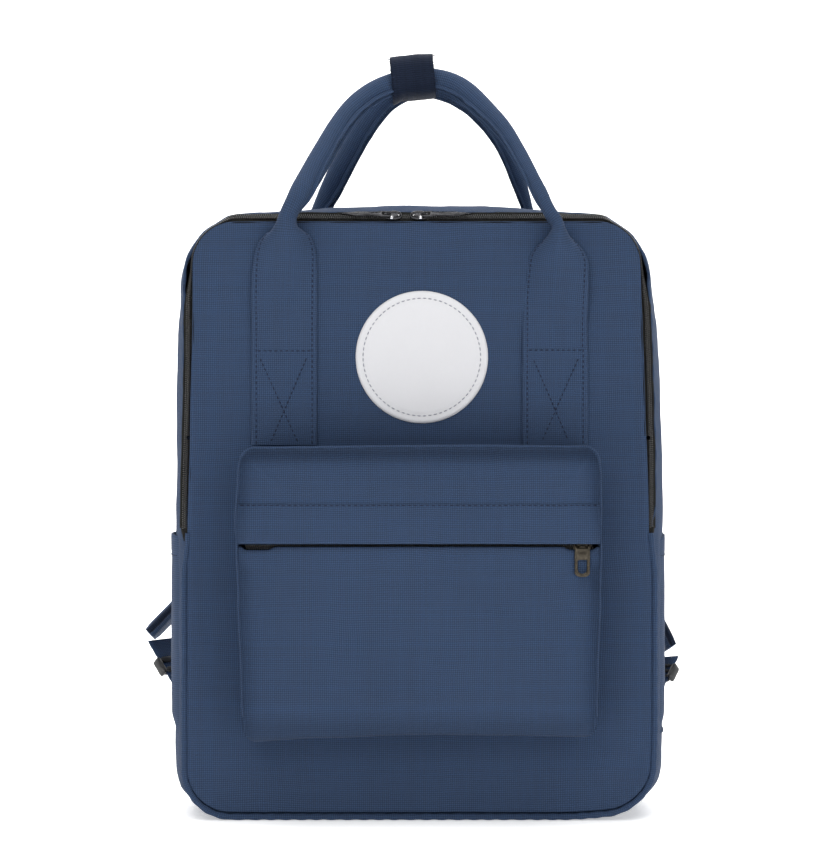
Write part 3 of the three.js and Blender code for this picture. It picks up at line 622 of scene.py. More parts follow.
NAVY = lin(49, 65, 91)
M = {
    'cloth': fabric_material("navy_polyester", NAVY),
    # the pocket cloth carries painted shade towards its top edge, sides and bottom
    'cloth_pocket_painted_shade': fabric_material("navy_polyester_pocket_painted_shade", NAVY, painted_shade_edges=(110.5, 57.0, 232.0)),
    'cloth_box': fabric_material("navy_polyester_padded", NAVY, boxed=True),
    'strap': fabric_material("navy_polyester_straps", lin(50, 66, 92), pitch=1.2),
    'lining': fabric_material("lining_taffeta", lin(48, 58, 78), boxed=True, pitch=0.8, depth=0.1, sheen=0.3, rough=0.6, contrast=0.16),
    'tape': webbing_material("zip_tape_knit", lin(25, 25, 23), rib=1.0),
    'webbing': webbing_material("dark_navy_webbing", lin(26, 34, 51), rib=1.35),
    'teeth': teeth_material(),
    'metal': metal_material("dark_nickel", (0.05, 0.05, 0.053, 1), (0.016, 0.016, 0.018, 1), 0.27, 0.06),
    'steel': metal_material("bright_rivet_steel", (0.66, 0.66, 0.67, 1), (0.40, 0.40, 0.42, 1), 0.2),
    'brass': metal_material("antique_brass", (0.06, 0.052, 0.04, 1), (0.018, 0.016, 0.014, 1), 0.34, 0.4),
    'patch': patch_material(),
    'thread': thread_material("navy_thread", lin(26, 34, 54)),
    'thread_grey': thread_material("grey_thread", lin(150, 152, 160)),
    'mesh': foam_material(),
    'plastic': plastic_material(),
}


# ------------------------------------------------------------------ sizes, from the CAD boxes
def mmbox(node):
    lo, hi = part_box(node)
    return [c * 1000 for c in lo], [c * 1000 for c in hi]


PANEL_LO, PANEL_HI = mmbox("front_panel_lower")
FRONT_Y = PANEL_LO[1]                       # outer face of the flat CAD panel
FRONT_HW = PANEL_HI[0]
FRONT_Z0 = PANEL_LO[2]
FRONT_Z1 = mmbox("front_panel_upper")[1][2]
FOLD = PANEL_HI[2] + 1.0
POCKET_LO, POCKET_HI = mmbox("pocket_piping")
PK_HW = 110.5
PK_Z0, PK_Z1 = 53.0, 232.5
PK_Y = -97.0


def outline_distance(x, z, hw, z0, z1, r):
    """Distance in from the edge of a rounded rectangle."""
    cx, cz = abs(x) - (hw - r), abs(z - (z0 + z1) / 2) - ((z1 - z0) / 2 - r)
    return r - (math.hypot(max(cx, 0), max(cz, 0)) + min(max(cx, cz), 0))


PAN_HW, PAN_Z0, PAN_Z1, PAN_R = FRONT_HW + 1.2, FRONT_Z0 - 0.6, FRONT_Z1 + 0.8, 26.8


def front_y(x, z):
    """The front panel: crowned, slack in places, drawn in at its seam."""
    d = max(outline_distance(x, z, PAN_HW, PAN_Z0, PAN_Z1, PAN_R), 0.0)
    y = FRONT_Y - 0.9 + 1.1 * math.exp(-(d / 2.0) ** 2)
    y -= 2.4 * smooth(0, 75, d)
    y -= 1.1 * fbm(x / 95.0, 3.1, z / 120.0) * smooth(2, 40, d)
    # soft upright folds beside the straps and drawn-in cloth towards the zip
    y -= 0.5 * math.exp(-((abs(x) - 124) / 9.0) ** 2) * (0.5 + 0.5 * fbm(2.0, 1.0, z / 45.0)) * smooth(10, 40, d)
    arc = math.atan2(z - 188, x) * 190
    y -= 0.28 * math.sin(arc / 3.1 + 4 * fbm(arc / 60, 0, 5.0)) * math.exp(-d / 7.0) * smooth(0, 2.5, d) * (0.5 + smooth(60, 0, z) * 1.3)
    # gathers at the two lower corners
    for s in (-1, 1):
        dx, dz = x - s * (FRONT_HW - 26), z - (FRONT_Z0 + 26)
        if s * dx > -12 and dz < 12:
            ang = math.atan2(dz, dx * s)
            rr = math.hypot(dx, dz)
            y -= 0.75 * math.sin(ang * 17 + 1.3 * s) * smooth(8, 24, rr) * smooth(0, 2.5, d) * smooth(12, -4, dz) * smooth(-12, 4, s * dx)
    return y


def rounded_outline(hw, z0, z1, r, per_corner=14, per_side=30):
    """Anticlockwise from the middle of the right side; returns points and arc lengths."""
    pts = []
    zc = (z0 + z1) / 2

    def seg(a, b, n):
        for i in range(n):
            t = i / n
            pts.append((lerp(a[0], b[0], t), lerp(a[1], b[1], t)))

    def arc(cx, cz, a0):
        for i in range(per_corner):
            a = a0 + (PI / 2) * i / per_corner
            pts.append((cx + r * math.cos(a), cz + r * math.sin(a)))
    seg((hw, zc), (hw, z1 - r), per_side)
    arc(hw - r, z1 - r, 0)
    seg((hw - r, z1), (-hw + r, z1), per_side * 2)
    arc(-hw + r, z1 - r, PI / 2)
    seg((-hw, z1 - r), (-hw, z0 + r), per_side * 2)
    arc(-hw + r, z0 + r, PI)
    seg((-hw + r, z0), (hw - r, z0), per_side * 2)
    arc(hw - r, z0 + r, 1.5 * PI)
    seg((hw, z0 + r), (hw, zc), per_side)
    return pts


def sheet_from_outline(pts, centre, surface, thickness, rings, mat_out=0, mat_in=0, power=1.6, cut=None):
    """A panel: rings from the outline to the middle, on the surface y = surface(x, z), with a back."""
    n = len(pts)
    b = Builder()
    idx = []
    for k in range(rings):
        f = 1 - (k / rings) ** power
        row = []
        for x, z in pts:
            px, pz = centre[0] + (x - centre[0]) * f, centre[1] + (z - centre[1]) * f
            row.append(b.vert((px, surface(px, pz), pz)))
        idx.append(row)
    c = b.vert((centre[0], surface(*centre), centre[1]))
    for k in range(rings - 1):
        for j in range(n):
            j2 = (j + 1) % n
            b.face((idx[k][j], idx[k][j2], idx[k + 1][j2], idx[k + 1][j]), mat=mat_out)
    for j in range(n):
        b.face((idx[-1][j], idx[-1][(j + 1) % n], c), mat=mat_out)
    count = len(b.v)
    front = list(b.f)
    for x, y, z in list(b.v):
        b.vert((x, y + thickness, z))
    for f in front:
        b.face(tuple(i + count for i in reversed(f)), mat=mat_in)
    for j in range(n):
        j2 = (j + 1) % n
        b.face((idx[0][j2], idx[0][j], idx[0][j] + count, idx[0][j2] + count), mat=mat_out)
    v, f, u = orient(b.v, b.f, b.uv)
    b.f, b.uv = f, u
    return b


# ------------------------------------------------------------------ front panel
def settle(x, y, z):
    """The bag leans in a little at the upper right and its lower right corner is lifted: offsets in x and z."""
    near = smooth(56, -10, y)
    top = table([(225, 0.0), (255, 0.8), (280, 1.5), (305, 2.4), (330, 3.4), (352, 4.0), (390, 4.0)], z) * smooth(60, 138, x)
    foot = smooth(88, 140, x) * smooth(62, 4, z)
    return -(top + 1.5 * foot) * near, 3.0 * foot * near


def seam_shift(x, z):
    """The panel's edge runs outward as it comes down past the ends of the zip."""
    k = table([(150, 3.4), (182, 3.2), (240, 1.6), (320, 0.0)], z) if x < 0 else table([(150, 3.2), (180, 1.5), (250, 0.0)], z)
    return math.copysign(k, x) * smooth(70, 135, abs(x))


outline = rounded_outline(PAN_HW, PAN_Z0, PAN_Z1, PAN_R)
panel = sheet_from_outline(outline, (0.0, 188.0), front_y, 1.5, 46, 0, 1).make("front_panel", [M['cloth'], M['lining']])
for v in panel.data.vertices:
    px, py, pz = v.co.x * 1000, v.co.y * 1000, v.co.z * 1000
    dx, dz = settle(px, py, pz)
    v.co.x += (seam_shift(px, pz) + dx) * MM
    v.co.z += dz * MM
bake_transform(panel)
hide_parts("front_panel_lower", "front_panel_upper")


# ------------------------------------------------------------------ gusset: one band of cloth round the bag
def body_at(y):
    rows = [(-55.6, 146.4, 2.6, 377.4, 31), (-46, 149.8, 0, 380.6, 32), (-20, 152.3, 0, 384.2, 33),
            (20, 152.3, 0, 384.2, 33), (46, 149.4, 0, 380.6, 32), (57.8, 145.6, 2.6, 376.2, 30)]
    for a, b in zip(rows, rows[1:]):
        if y <= b[0]:
            t = (y - a[0]) / (b[0] - a[0])
            return [lerp(p, q, t) for p, q in zip(a, b)]
    return list(rows[-1])


def crown(y):
    """Smooth version of the CAD section: half width, bottom, top."""
    u = min(max((y + 0.5) / 58.2, -1.0), 1.0)
    k = 1 - abs(u) ** 2.6
    hw = lerp(146.0, 153.0, k)
    top = lerp(376.6, 384.6, k)
    bot = 1.0 * abs(u) ** 6
    return hw, bot, top


def crest_drop(x, z, y):
    """The top of the bag sinks toward its two upper corners, behind the front panel."""
    d = table([(0, 0), (51, 0.6), (80, 2.6), (99, 4.2), (108, 5.4), (118, 7.3), (124.5, 9.3), (130, 10.2), (135, 11.5), (140, 13.6), (144, 15.2), (148, 16.6), (158, 18)], abs(x))
    front = lerp(0.2, 0.62, smooth(112, 130, abs(x)))
    return d * lerp(front, 1.0, smooth(-55, -32, y)) * smooth(57, 12, y) * smooth(300, 352, z)



def gusset_point(j, count, y, inset=0.0):
    """j runs round the bag; returns a point on the band at depth y."""
    hw, bot, top = crown(y)
    hw -= inset
    bot += inset
    top -= inset
    r = 31 - inset
    # arc-length walk round the rounded rectangle, starting mid-bottom, clockwise seen from the front
    w, h = 2 * hw - 2 * r, (top - bot) - 2 * r
    q = PI / 2 * r
    total = 2 * w + 2 * h + 4 * q
    s = (j % count) / count * total
    x, z, nx, nz = 0, bot, 0, -1
    segs = [('b', w / 2), ('c1', q), ('r', h), ('c2', q), ('t', w), ('c3', q), ('l', h), ('c4', q), ('e', w / 2)]
    for name, length in segs:
        if s <= length or name == 'e':
            t = s / length
            if name == 'b':
                x, z, nx, nz = t * w / 2, bot, 0, -1
            elif name == 'r':
                x, z, nx, nz = hw, bot + r + t * h, 1, 0
            elif name == 't':
                x, z, nx, nz = w / 2 - t * w, top, 0, 1
            elif name == 'l':
                x, z, nx, nz = -hw, top - r - t * h, -1, 0
            elif name == 'e':
                x, z, nx, nz = -w / 2 + t * w / 2, bot, 0, -1
            else:
                cx, cz, a0 = {'c1': (w / 2, bot + r, -PI / 2), 'c2': (w / 2, top - r, 0), 'c3': (-w / 2, top - r, PI / 2), 'c4': (-w / 2, bot + r, PI)}[name]
                a = a0 + t * PI / 2
                nx, nz = math.cos(a), math.sin(a)
                x, z = cx + r * nx, cz + r * nz
            break
        s -= length
    return x, z, nx, nz, (j / count) * total


def gusset_build():
    count, rows = 420, 40
    b = Builder()
    grid_out, grid_in, uvs = [], [], []
    for k in range(rows + 1):
        t = k / rows
        row_o, row_i, row_u = [], [], []
        for j in range(count):
            x0, z0, nx, nz, arc = gusset_point(j, count, 0.0)
            # where the zip runs the band starts further back; below it, it meets the piping
            zip_here = smooth(178.0, 202.0, z0)
            ya = lerp(-59.2, -55.4, zip_here)
            y = lerp(ya, 58.4, t)
            x, z, nx, nz, arc = gusset_point(j, count, y)
            if k <= 2 and zip_here < 1:
                draw = (1 - zip_here) * (1 - k / 3.0) * 2.3
                x, z = x - nx * draw, z - nz * draw
            # pillow wrinkles; none where the bag stands
            floor = smooth(1.5, 16.0, z0)
            mid = smooth(0.0, 0.16, t) * smooth(1.0, 0.86, t)
            side = abs(nx)
            taper = 1.6 * smooth(345, 235, z0) * side * mid - 1.8 * smooth(300, 365, z0) * side * mid
            wr = 1.5 * fbm(x / 40.0, y / 48.0, z / 62.0) * mid
            wr += 0.55 * fbm(x / 16.0 + 9, y / 30.0, z / 20.0) * mid
            pucker = 0.32 * math.sin(arc / 2.7 + 5 * fbm(arc / 50, 1, 0)) * (math.exp(-t * rows / 3.2) + math.exp(-(1 - t) * rows / 3.0))
            bulge_corner = 0.9 * math.sin(math.atan2(nz, nx) * 13) * (1 if abs(nx) > 0.05 and abs(nz) > 0.05 else 0) * smooth(0.35, 0.0, t) * smooth(0, 0.04, t)
            off = (taper + wr) * floor + (pucker + bulge_corner * smooth(120, 40, z0)) * lerp(0.35, 1.0, floor)
            if z0 < 12:
                off = min(off, 0.0) if z - off * abs(nz) < 0.05 else off
            px, pz = x + nx * off, z + nz * off
            dx, dz = settle(px, y, pz)
            pz = max(pz - crest_drop(px, pz, y) + dz, 0.02)
            px += dx
            row_o.append(b.vert((px, y, pz)))
            row_i.append((px - nx * 1.5, y, pz - nz * 1.5))
            row_u.append((arc, y))
        grid_out.append(row_o)
        grid_in.append(row_i)
        uvs.append(row_u)
    gi = [[b.vert(p) for p in row] for row in grid_in]
    total = gusset_point(count - 1, count, 0)[4] * count / (count - 1)

    def uv(k, j):
        a, y = uvs[k][j % count]
        return (y, a if j < count else total)
    for k in range(rows):
        for j in range(count):
            j2 = (j + 1) % count
            q = [uv(k, j), uv(k, j + 1), uv(k + 1, j + 1), uv(k + 1, j)]
            b.face((grid_out[k][j], grid_out[k][j2], grid_out[k + 1][j2], grid_out[k + 1][j]), q, 0)
            b.face((gi[k + 1][j], gi[k + 1][j2], gi[k][j2], gi[k][j]), list(reversed(q)), 1)
    for k, flip in ((0, False), (rows, True)):
        for j in range(count):
            j2 = (j + 1) % count
            f = (grid_out[k][j2], grid_out[k][j], gi[k][j], gi[k][j2])
            q = [uv(k, j + 1), uv(k, j), uv(k, j), uv(k, j + 1)]
            b.face(tuple(reversed(f)) if flip else f, q, 0)
    v, f, u = orient(b.v, b.f, b.uv)
    b.f, b.uv = f, u
    return b


gusset = gusset_build().make("gusset_band", [M['cloth'], M['lining']])
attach(gusset, "bag")
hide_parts("gusset_top", "gusset_bottom", "gusset_left", "gusset_right")


# ------------------------------------------------------------------ main zip
ZIP_Y, ZIP_HW, ZIP_TOP, ZIP_R, ZIP_END = -58.8, 143.2, 374.2, 29.0, 181.0


def zip_path(z0, step=1.3):
    """Evenly stepped centre line: x, z and outward normal."""
    straight = ZIP_TOP - ZIP_R - z0
    q = PI / 2 * ZIP_R
    w = 2 * (ZIP_HW - ZIP_R)
    total = 2 * straight + 2 * q + w
    n = int(total / step)
    out = []
    for i in range(n + 1):
        s = total * i / n
        if s < straight:
            out.append((-ZIP_HW, z0 + s, -1.0, 0.0, s))
        elif s < straight + q:
            a = PI - (s - straight) / ZIP_R
            out.append((-ZIP_HW + ZIP_R + ZIP_R * math.cos(a), ZIP_TOP - ZIP_R + ZIP_R * math.sin(a), math.cos(a), math.sin(a), s))
        elif s < straight + q + w:
            out.append((-ZIP_HW + ZIP_R + s - straight - q, ZIP_TOP, 0.0, 1.0, s))
        elif s < straight + 2 * q + w:
            a = PI / 2 - (s - straight - q - w) / ZIP_R
            out.append((ZIP_HW - ZIP_R + ZIP_R * math.cos(a), ZIP_TOP - ZIP_R + ZIP_R * math.sin(a), math.cos(a), math.sin(a), s))
        else:
            out.append((ZIP_HW, ZIP_TOP - ZIP_R - (s - straight - 2 * q - w), 1.0, 0.0, s))
    return out


def zip_xyz(p, u, v):
    a, y = (u + v) * H, ZIP_Y + (u - v) * H
    # round the upper corners the tape turns over the edge and lies back
    up = smooth(318, 350, p[1])
    c, fold = smooth(114, 127, abs(p[0])) * up, smooth(66, 112, abs(p[0])) * up
    if a > 2.4:
        y += 0.9 * fold * (a - 2.4)
        a = 2.4 + (a - 2.4) * (1 - 0.85 * fold)
    y += c * (0.75 * max(a, 0.0) + 0.9)
    a = (a * (1 - 0.75 * c) if a > 0 else a) - 1.4 * c
    lean = -2.3 * smooth(300, 182, p[1]) if p[0] < -100 else settle(p[0], y, p[1])[0]
    return (p[0] + p[2] * a + lean, y, p[1] + p[3] * a)


def tape_strip(path, u0, u1, v, thick, name, body):
    """Knitted tape with a raised rib beside the teeth."""
    prof = [(u0, v), (lerp(u0, u1, 0.25), v + 0.05), (lerp(u0, u1, 0.5), v + 0.16), (lerp(u0, u1, 0.75), v + 0.05), (u1, v), (u1, v - thick), (u0, v - thick)]
    rings = []
    for k, p in enumerate(path):
        wav = 0.10 * math.sin(p[4] / 5.0 + u0)
        rings.append([zip_xyz(p, a, c + wav) for a, c in prof])
    v_, f_, u_ = tube_grid(rings, lambda i, j: (prof[j % len(prof)][0] if j < len(prof) else prof[0][0], path[min(i, len(path) - 1)][4]))
    ob = new_object(name, v_, f_, M['tape'], u_)
    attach(ob, body)
    return ob


def teeth_row(path, sign, name, body, pitch=1.3, place=zip_xyz):
    """One row of a nylon coil: each turn is a small rounded loop that reaches over the middle."""
    b = Builder()
    for k, p in enumerate(path):
        if k + 1 >= len(path):
            break
        t = (path[k + 1][0] - p[0], path[k + 1][1] - p[1])
        L = math.hypot(*t)
        t = (t[0] / L, t[1] / L)
        phase = 0.0 if sign > 0 else 0.5
        rings = []
        for q in range(5):
            w = q / 4
            u = sign * lerp(2.0, -0.35, w)
            rise = 0.25 + 0.85 * math.sin(PI * (0.15 + 0.75 * w))
            half = 0.34 + 0.06 * math.sin(PI * w)
            sl = (phase + 0.18 * w) * pitch
            ring = []
            for (da, dv) in ((-half, 0.0), (-half * 0.7, 0.42), (half * 0.7, 0.42), (half, 0.0), (half * 0.7, -0.3), (-half * 0.7, -0.3)):
                base = place(p, u, rise * 0.75 + dv)
                ring.append((base[0] + t[0] * (sl + da), base[1], base[2] + t[1] * (sl + da)))
            rings.append(ring)
        v_, f_, u_ = tube_grid(rings, lambda i, j: (j * 0.3, i * 0.6))
        b.add(v_, f_, u_)
    ob = b.make(name, M['teeth'])
    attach(ob, body)
    return ob


rear_path = zip_path(ZIP_END + 0.4)
front_path = zip_path(FOLD + 0.7)
ob = tape_strip(rear_path, 1.7, 5.2, 0.1, 0.5, "main_zip_tape_rear", "bag")
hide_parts("zip_tape_rear")
ob = tape_strip(front_path, -4.6, -1.7, 0.1, 0.5, "main_zip_tape_front", "flap")
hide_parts("zip_tape_front")
ob = teeth_row(rear_path, 1, "main_zip_teeth_rear", "bag")
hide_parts("zip_coil_rear")
ob = teeth_row(front_path, -1, "main_zip_teeth_front", "flap")
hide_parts("zip_coil_front")
for side, s in (("left", -1), ("right", 1)):
    n = int((FOLD - ZIP_END) / 1.3)
    leg = [(s * ZIP_HW, ZIP_END + 0.4 + (FOLD - 1.9 - ZIP_END) * i / n, float(s), 0.0, i * 1.3) for i in range(n + 1)]
    ob = tape_strip(leg, -4.6, -1.7, 0.1, 0.5, "main_zip_tape_front_lower_" + side, "bag")
    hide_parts("zip_tape_front_lower_" + side)
    ob = teeth_row(leg, -1, "main_zip_teeth_front_lower_" + side, "bag")
    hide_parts("zip_coil_front_lower_" + side)
    # the tape is folded over and tacked down under the seam at its end
    rings = []
    for k in range(9):
        t = k / 8
        z = ZIP_END - 7.5 + 9.0 * t
        w = lerp(1.2, 3.6, smooth(0, 0.8, t))
        p = (s * ZIP_HW, z, float(s), 0.0)
        rings.append([zip_xyz(p, w * c, 0.25 + 0.75 * sn + 0.12 * math.sin(t * 9)) for c, sn in ((-1, -0.6), (-1, 0.3), (-0.5, 0.75), (0.5, 0.75), (1, 0.3), (1, -0.6))])
    v_, f_, u_ = tube_grid(rings, lambda i, j: (j * 1.2, i * 1.1))
    ob = new_object("zip_end_" + side, v_, f_, M['tape'], u_)
    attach(ob, "bag")
    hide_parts("zip_end_stop_" + side)


# ------------------------------------------------------------------ seam piping under the front panel
def piping(points, normals, radius, name, lip=2.0):
    """A covered cord with gathers where it turns."""
    rings = []
    lens = 0.0
    fr = frames(points, False, Vector((0, -1, 0)))
    out_lens = []
    for i, (c, t, s, n) in enumerate(fr):
        if i:
            lens += (Vector(points[i]) - Vector(points[i - 1])).length
        out_lens.append(lens)
        g = 0.16 * math.sin(lens / 1.55 + 3 * fbm(lens / 40, 2, 0)) + 0.12 * fbm(lens / 6.0, 0, 1)
        r = radius * (1 + g * 0.55)
        rings.append([c + s * (r * math.cos(2 * PI * j / 14)) + n * (r * 0.95 * math.sin(2 * PI * j / 14)) for j in range(14)])
    v_, f_, u_ = tube_grid(rings, lambda i, j: (j * 2 * PI * radius / 14, out_lens[min(i, len(out_lens) - 1)]))
    ob = new_object(name, v_, f_, M['cloth'], u_)
    return ob


def under_path(hw, z0, r, z_end, step=1.4):
    """Down the left side, along the bottom and up the right side."""
    pts = []
    n = max(int((z_end - z0 - r) / step), 1)
    pts += [(-hw, lerp(z_end, z0 + r, i / n)) for i in range(n)]
    m = int(PI / 2 * r / step)
    pts += [(-hw + r - r * math.cos(PI / 2 * i / m), z0 + r - r * math.sin(PI / 2 * i / m)) for i in range(m)]
    k = int(2 * (hw - r) / step)
    pts += [(lerp(-hw + r, hw - r, i / k), z0) for i in range(k)]
    pts += [(hw - r + r * math.sin(PI / 2 * i / m), z0 + r - r * math.cos(PI / 2 * i / m)) for i in range(m)]
    pts += [(hw, lerp(z0 + r, z_end, i / n)) for i in range(n + 1)]
    return pts


pipe = piping([(x + math.copysign(2.6, x) * smooth(179.5, 150, z) * smooth(60, 130, abs(x)), -60.7, z) for x, z in under_path(143.4, 2.3, 29, 178.5)], None, 2.0, "front_piping")
for v in pipe.data.vertices:
    dx, dz = settle(v.co.x * 1000, v.co.y * 1000, v.co.z * 1000)
    v.co.x += dx * MM
    v.co.z += dz * MM
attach(pipe, "bag")
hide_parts("front_seam_piping")


def seam_allowance(points, y0, y1, depth):
    """The turned-in edges behind the piping, which close the seam from inside."""
    rings = []
    for i, (x, z) in enumerate(points):
        (xa, za), (xb, zb) = points[max(i - 1, 0)], points[min(i + 1, len(points) - 1)]
        n = math.hypot(xb - xa, zb - za)
        nx, nz = -(zb - za) / n, (xb - xa) / n
        ring = []
        for d, y in ((0.2, y0), (depth, y0 + 0.3), (depth, y1), (0.2, y1)):
            px, pz = x + nx * d, z + nz * d
            dx, dz = settle(px, y, pz)
            ring.append(Vector((px + dx, y, pz + dz)))
        rings.append(ring)
    v_, f_, u_ = tube_grid(rings, lambda i, j: (j * 3.0, i * 1.4))
    ob = new_object("front_seam_allowance", v_, f_, M['cloth'], u_)
    return ob


inside = seam_allowance([(x + math.copysign(2.6, x) * smooth(179.5, 150, z) * smooth(60, 130, abs(x)), z) for x, z in under_path(143.4, 2.3, 29, 174.0)], -58.8, -57.9, 6.5)
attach(inside, "bag")


# ------------------------------------------------------------------ strips of cloth that lie flat and roll into a tube
STRIP = 40.0


def strip_section(theta, fin=True, length=STRIP, n=15):
    """Centre line of the cloth across the strip, as (w, s, n, angle): flat at 0, rolled at 2 pi."""
    g = smooth(4.0, 6.1, theta) if fin else 0.0
    core = 16.3
    k0 = theta / (2 * lerp(length / 2, core, g))
    m = 80
    dw = length / 2 / m
    x = y = psi = 0.0
    fine = []
    for i in range(m + 1):
        w = i * dw
        fine.append((w, x, y, psi))
        k = k0
        if g > 0 and w > core:
            k = lerp(k0, -(PI / 2) / 2.2 if w < core + 2.2 else 0.0, g)
        psi += k * dw
        x += math.cos(psi) * dw
        y -= math.sin(psi) * dw
    cy = sum(p[2] for p in fine) / len(fine)
    out = []
    for i in range(-n, n + 1):
        w = abs(i) / n
        w = (1 - (1 - w) ** 1.25) * length / 2
        k = min(int(w / dw), m - 1)
        f = w / dw - k
        p = [lerp(a, b, f) for a, b in zip(fine[k], fine[k + 1])]
        sg = 1 if i > 0 else -1
        out.append((sg * p[0], sg * p[1], p[2] - cy, sg * p[3]) if i else (0.0, 0.0, -cy, 0.0))
    return out


def strip_mesh(stations, thick, name, mats, drape=None, seam_lines=True, length=STRIP, wrinkle=0.5, fin=True):
    """stations: (centre, tangent, outward, theta, squash). Returns the strip and its two seam threads."""
    rings, ws, lens = [], None, [0.0]
    lines = {-1: [], 1: []}
    for i, (c, t, out, theta, sq, tight) in enumerate(stations):
        if i:
            lens.append(lens[-1] + (c - stations[i - 1][0]).length)
        side = t.cross(out).normalized()
        sec = strip_section(theta, fin, length)
        if ws is None:
            ws = [p[0] for p in sec]
        face, back = [], []
        rolled = smooth(3.0, 6.0, theta)
        for w, s, n, a in sec:
            edge = abs(w) / (length / 2)
            th = thick * 0.5 * (1 - 0.25 * smooth(0.93, 1.0, edge))
            dent = -lerp(0.22, 0.5, rolled) * math.exp(-((abs(w) - (length / 2 - 3.2)) / 0.8) ** 2)
            wr = 1.7 * wrinkle * rolled * fbm(w / 6.0 + lens[-1] / 14.0, lens[-1] / 4.6, 2.0 + hsh(len(name))) * smooth(7, 13, abs(w))
            wr += 0.35 * fbm(w / 18.0, lens[-1] / 30.0, 9.0)
            wr += 0.5 * rolled * math.sin(lens[-1] / 2.6 + w / 3.0) * smooth(17.0, 20.0, abs(w)) * 0.6
            ns, nn = math.sin(a), math.cos(a)
            face.append((s + ns * (th + dent + wr), n + nn * (th + dent + wr), w))
            back.append((s - ns * th + ns * wr * 0.5, n - nn * th + nn * wr * 0.5, w))
        e1 = [((face[-1][0] + back[-1][0]) / 2 + math.cos(sec[-1][3]) * 0.5, (face[-1][1] + back[-1][1]) / 2 - math.sin(sec[-1][3]) * 0.5, length / 2)]
        e0 = [((face[0][0] + back[0][0]) / 2 - math.cos(sec[0][3]) * 0.5, (face[0][1] + back[0][1]) / 2 + math.sin(sec[0][3]) * 0.5, -length / 2)]
        ring = face + e1 + list(reversed(back)) + e0
        pts = [c + side * (p[0] * sq * tight) + out * (p[1] * tight / math.sqrt(sq)) for p in ring]
        if drape:
            k = drape(c)
            if k > 0:
                for q, (s, n, w) in enumerate(ring):
                    flat = Vector((pts[q].x, front_y(pts[q].x, pts[q].z) - 0.25 - thick / 2 - n, pts[q].z))
                    pts[q] = pts[q].lerp(flat, k)
        rings.append(pts)
        for sg in (-1, 1):
            j = min(range(len(sec)), key=lambda q: abs(sec[q][0] - sg * (length / 2 - 3.2)))
            a = sec[j][3]
            nv = (side * math.sin(a) + out * math.cos(a)).normalized()
            lines[sg].append((pts[j], nv))
    nf = 2 * 15 + 1
    wring = ws + [length / 2 + 0.6] + [length - w for w in reversed(ws)] + [length * 1.5]
    v_, f_, u_ = tube_grid(rings, lambda i, j: ((wring[j] if j < len(wring) else wring[0] + 2 * length + 2), lens[min(i, len(lens) - 1)]), sharp=True)
    ob = new_object(name, v_, f_, mats, u_)
    threads = None
    if seam_lines:
        threads = join([stitches([p for p, _ in lines[sg]], [n for _, n in lines[sg]], 3.3, 2.3, 0.34, 0.10) for sg in (-1, 1)], name + "_stitching", M['thread'])
    return ob, threads


def arch_out(c, t, tilt):
    o = t.cross(Vector((0, 1, 0)))
    o.y = 0
    o.normalize()
    if o.dot(Vector((c.x, 0, c.z - 395))) < 0:
        o = -o
    v = o * math.cos(tilt) + Vector((0, 1, 0)) * math.sin(tilt)
    return (v - t * v.dot(t)).normalized()


def back_extent(theta, thick):
    sec = strip_section(theta)
    return -min(p[2] for p in sec) + thick / 2


THICK = 2.2
JOIN_Z = 293.2


def handle_stations(ctrl, base, theta_left, theta_right, twist_left, twist_right, squash_left, squash_right, tilt, front, tight=((0, 1.0), (200, 1.0))):
    raw, total = catmull(ctrl, 250)
    # hold the strap clear of the panel it is sewn to, curls included
    pts = []
    lens = [total * i / 250 for i in range(251)]
    for p, s in zip(raw, lens):
        left = s < total / 2
        d = s if left else total - s
        theta = table(theta_left if left else theta_right, d)
        if front and p.z < 372:
            lim = min(front_y(p.x + w, min(p.z, 370)) for w in (-16, -8, 0, 8, 16)) - 0.35 - back_extent(theta, THICK)
            p = Vector((p.x, min(p.y, lim), p.z)) if theta > 0.3 else Vector((p.x, lerp(p.y, lim, smooth(0.3, 0.0, theta)) if p.y < lim else lim, p.z))
        pts.append(p)
    for _ in range(6):
        pts = [pts[0]] + [Vector((p.x, (a.y + 2 * p.y + b.y) / 4, p.z)) for a, p, b in zip(pts, pts[1:], pts[2:])] + [pts[-1]]
    for _ in range(70):
        keep = [smooth(376, 392, p.z) for p in pts]
        pts = [pts[0]] + [p.lerp((a + 2 * p + b) / 4, k) for a, p, b, k in zip(pts, pts[1:], pts[2:], keep[1:])] + [pts[-1]]
    out = []
    for i, (p, s) in enumerate(zip(pts, lens)):
        t = (pts[min(i + 1, 250)] - pts[max(i - 1, 0)]).normalized()
        left = s < total / 2
        d = s if left else total - s
        theta = table(theta_left if left else theta_right, d)
        f = table(twist_left if left else twist_right, d)
        sq = table(squash_left if left else squash_right, d)
        n0 = (base - t * base.dot(t)).normalized()
        n1 = arch_out(p, t, tilt)
        n = (n0 * (1 - f) + n1 * f)
        n = (n - t * n.dot(t)).normalized()
        out.append((p, t, n, theta, sq, 1.0 if left else table(tight, d)))
    return out, total


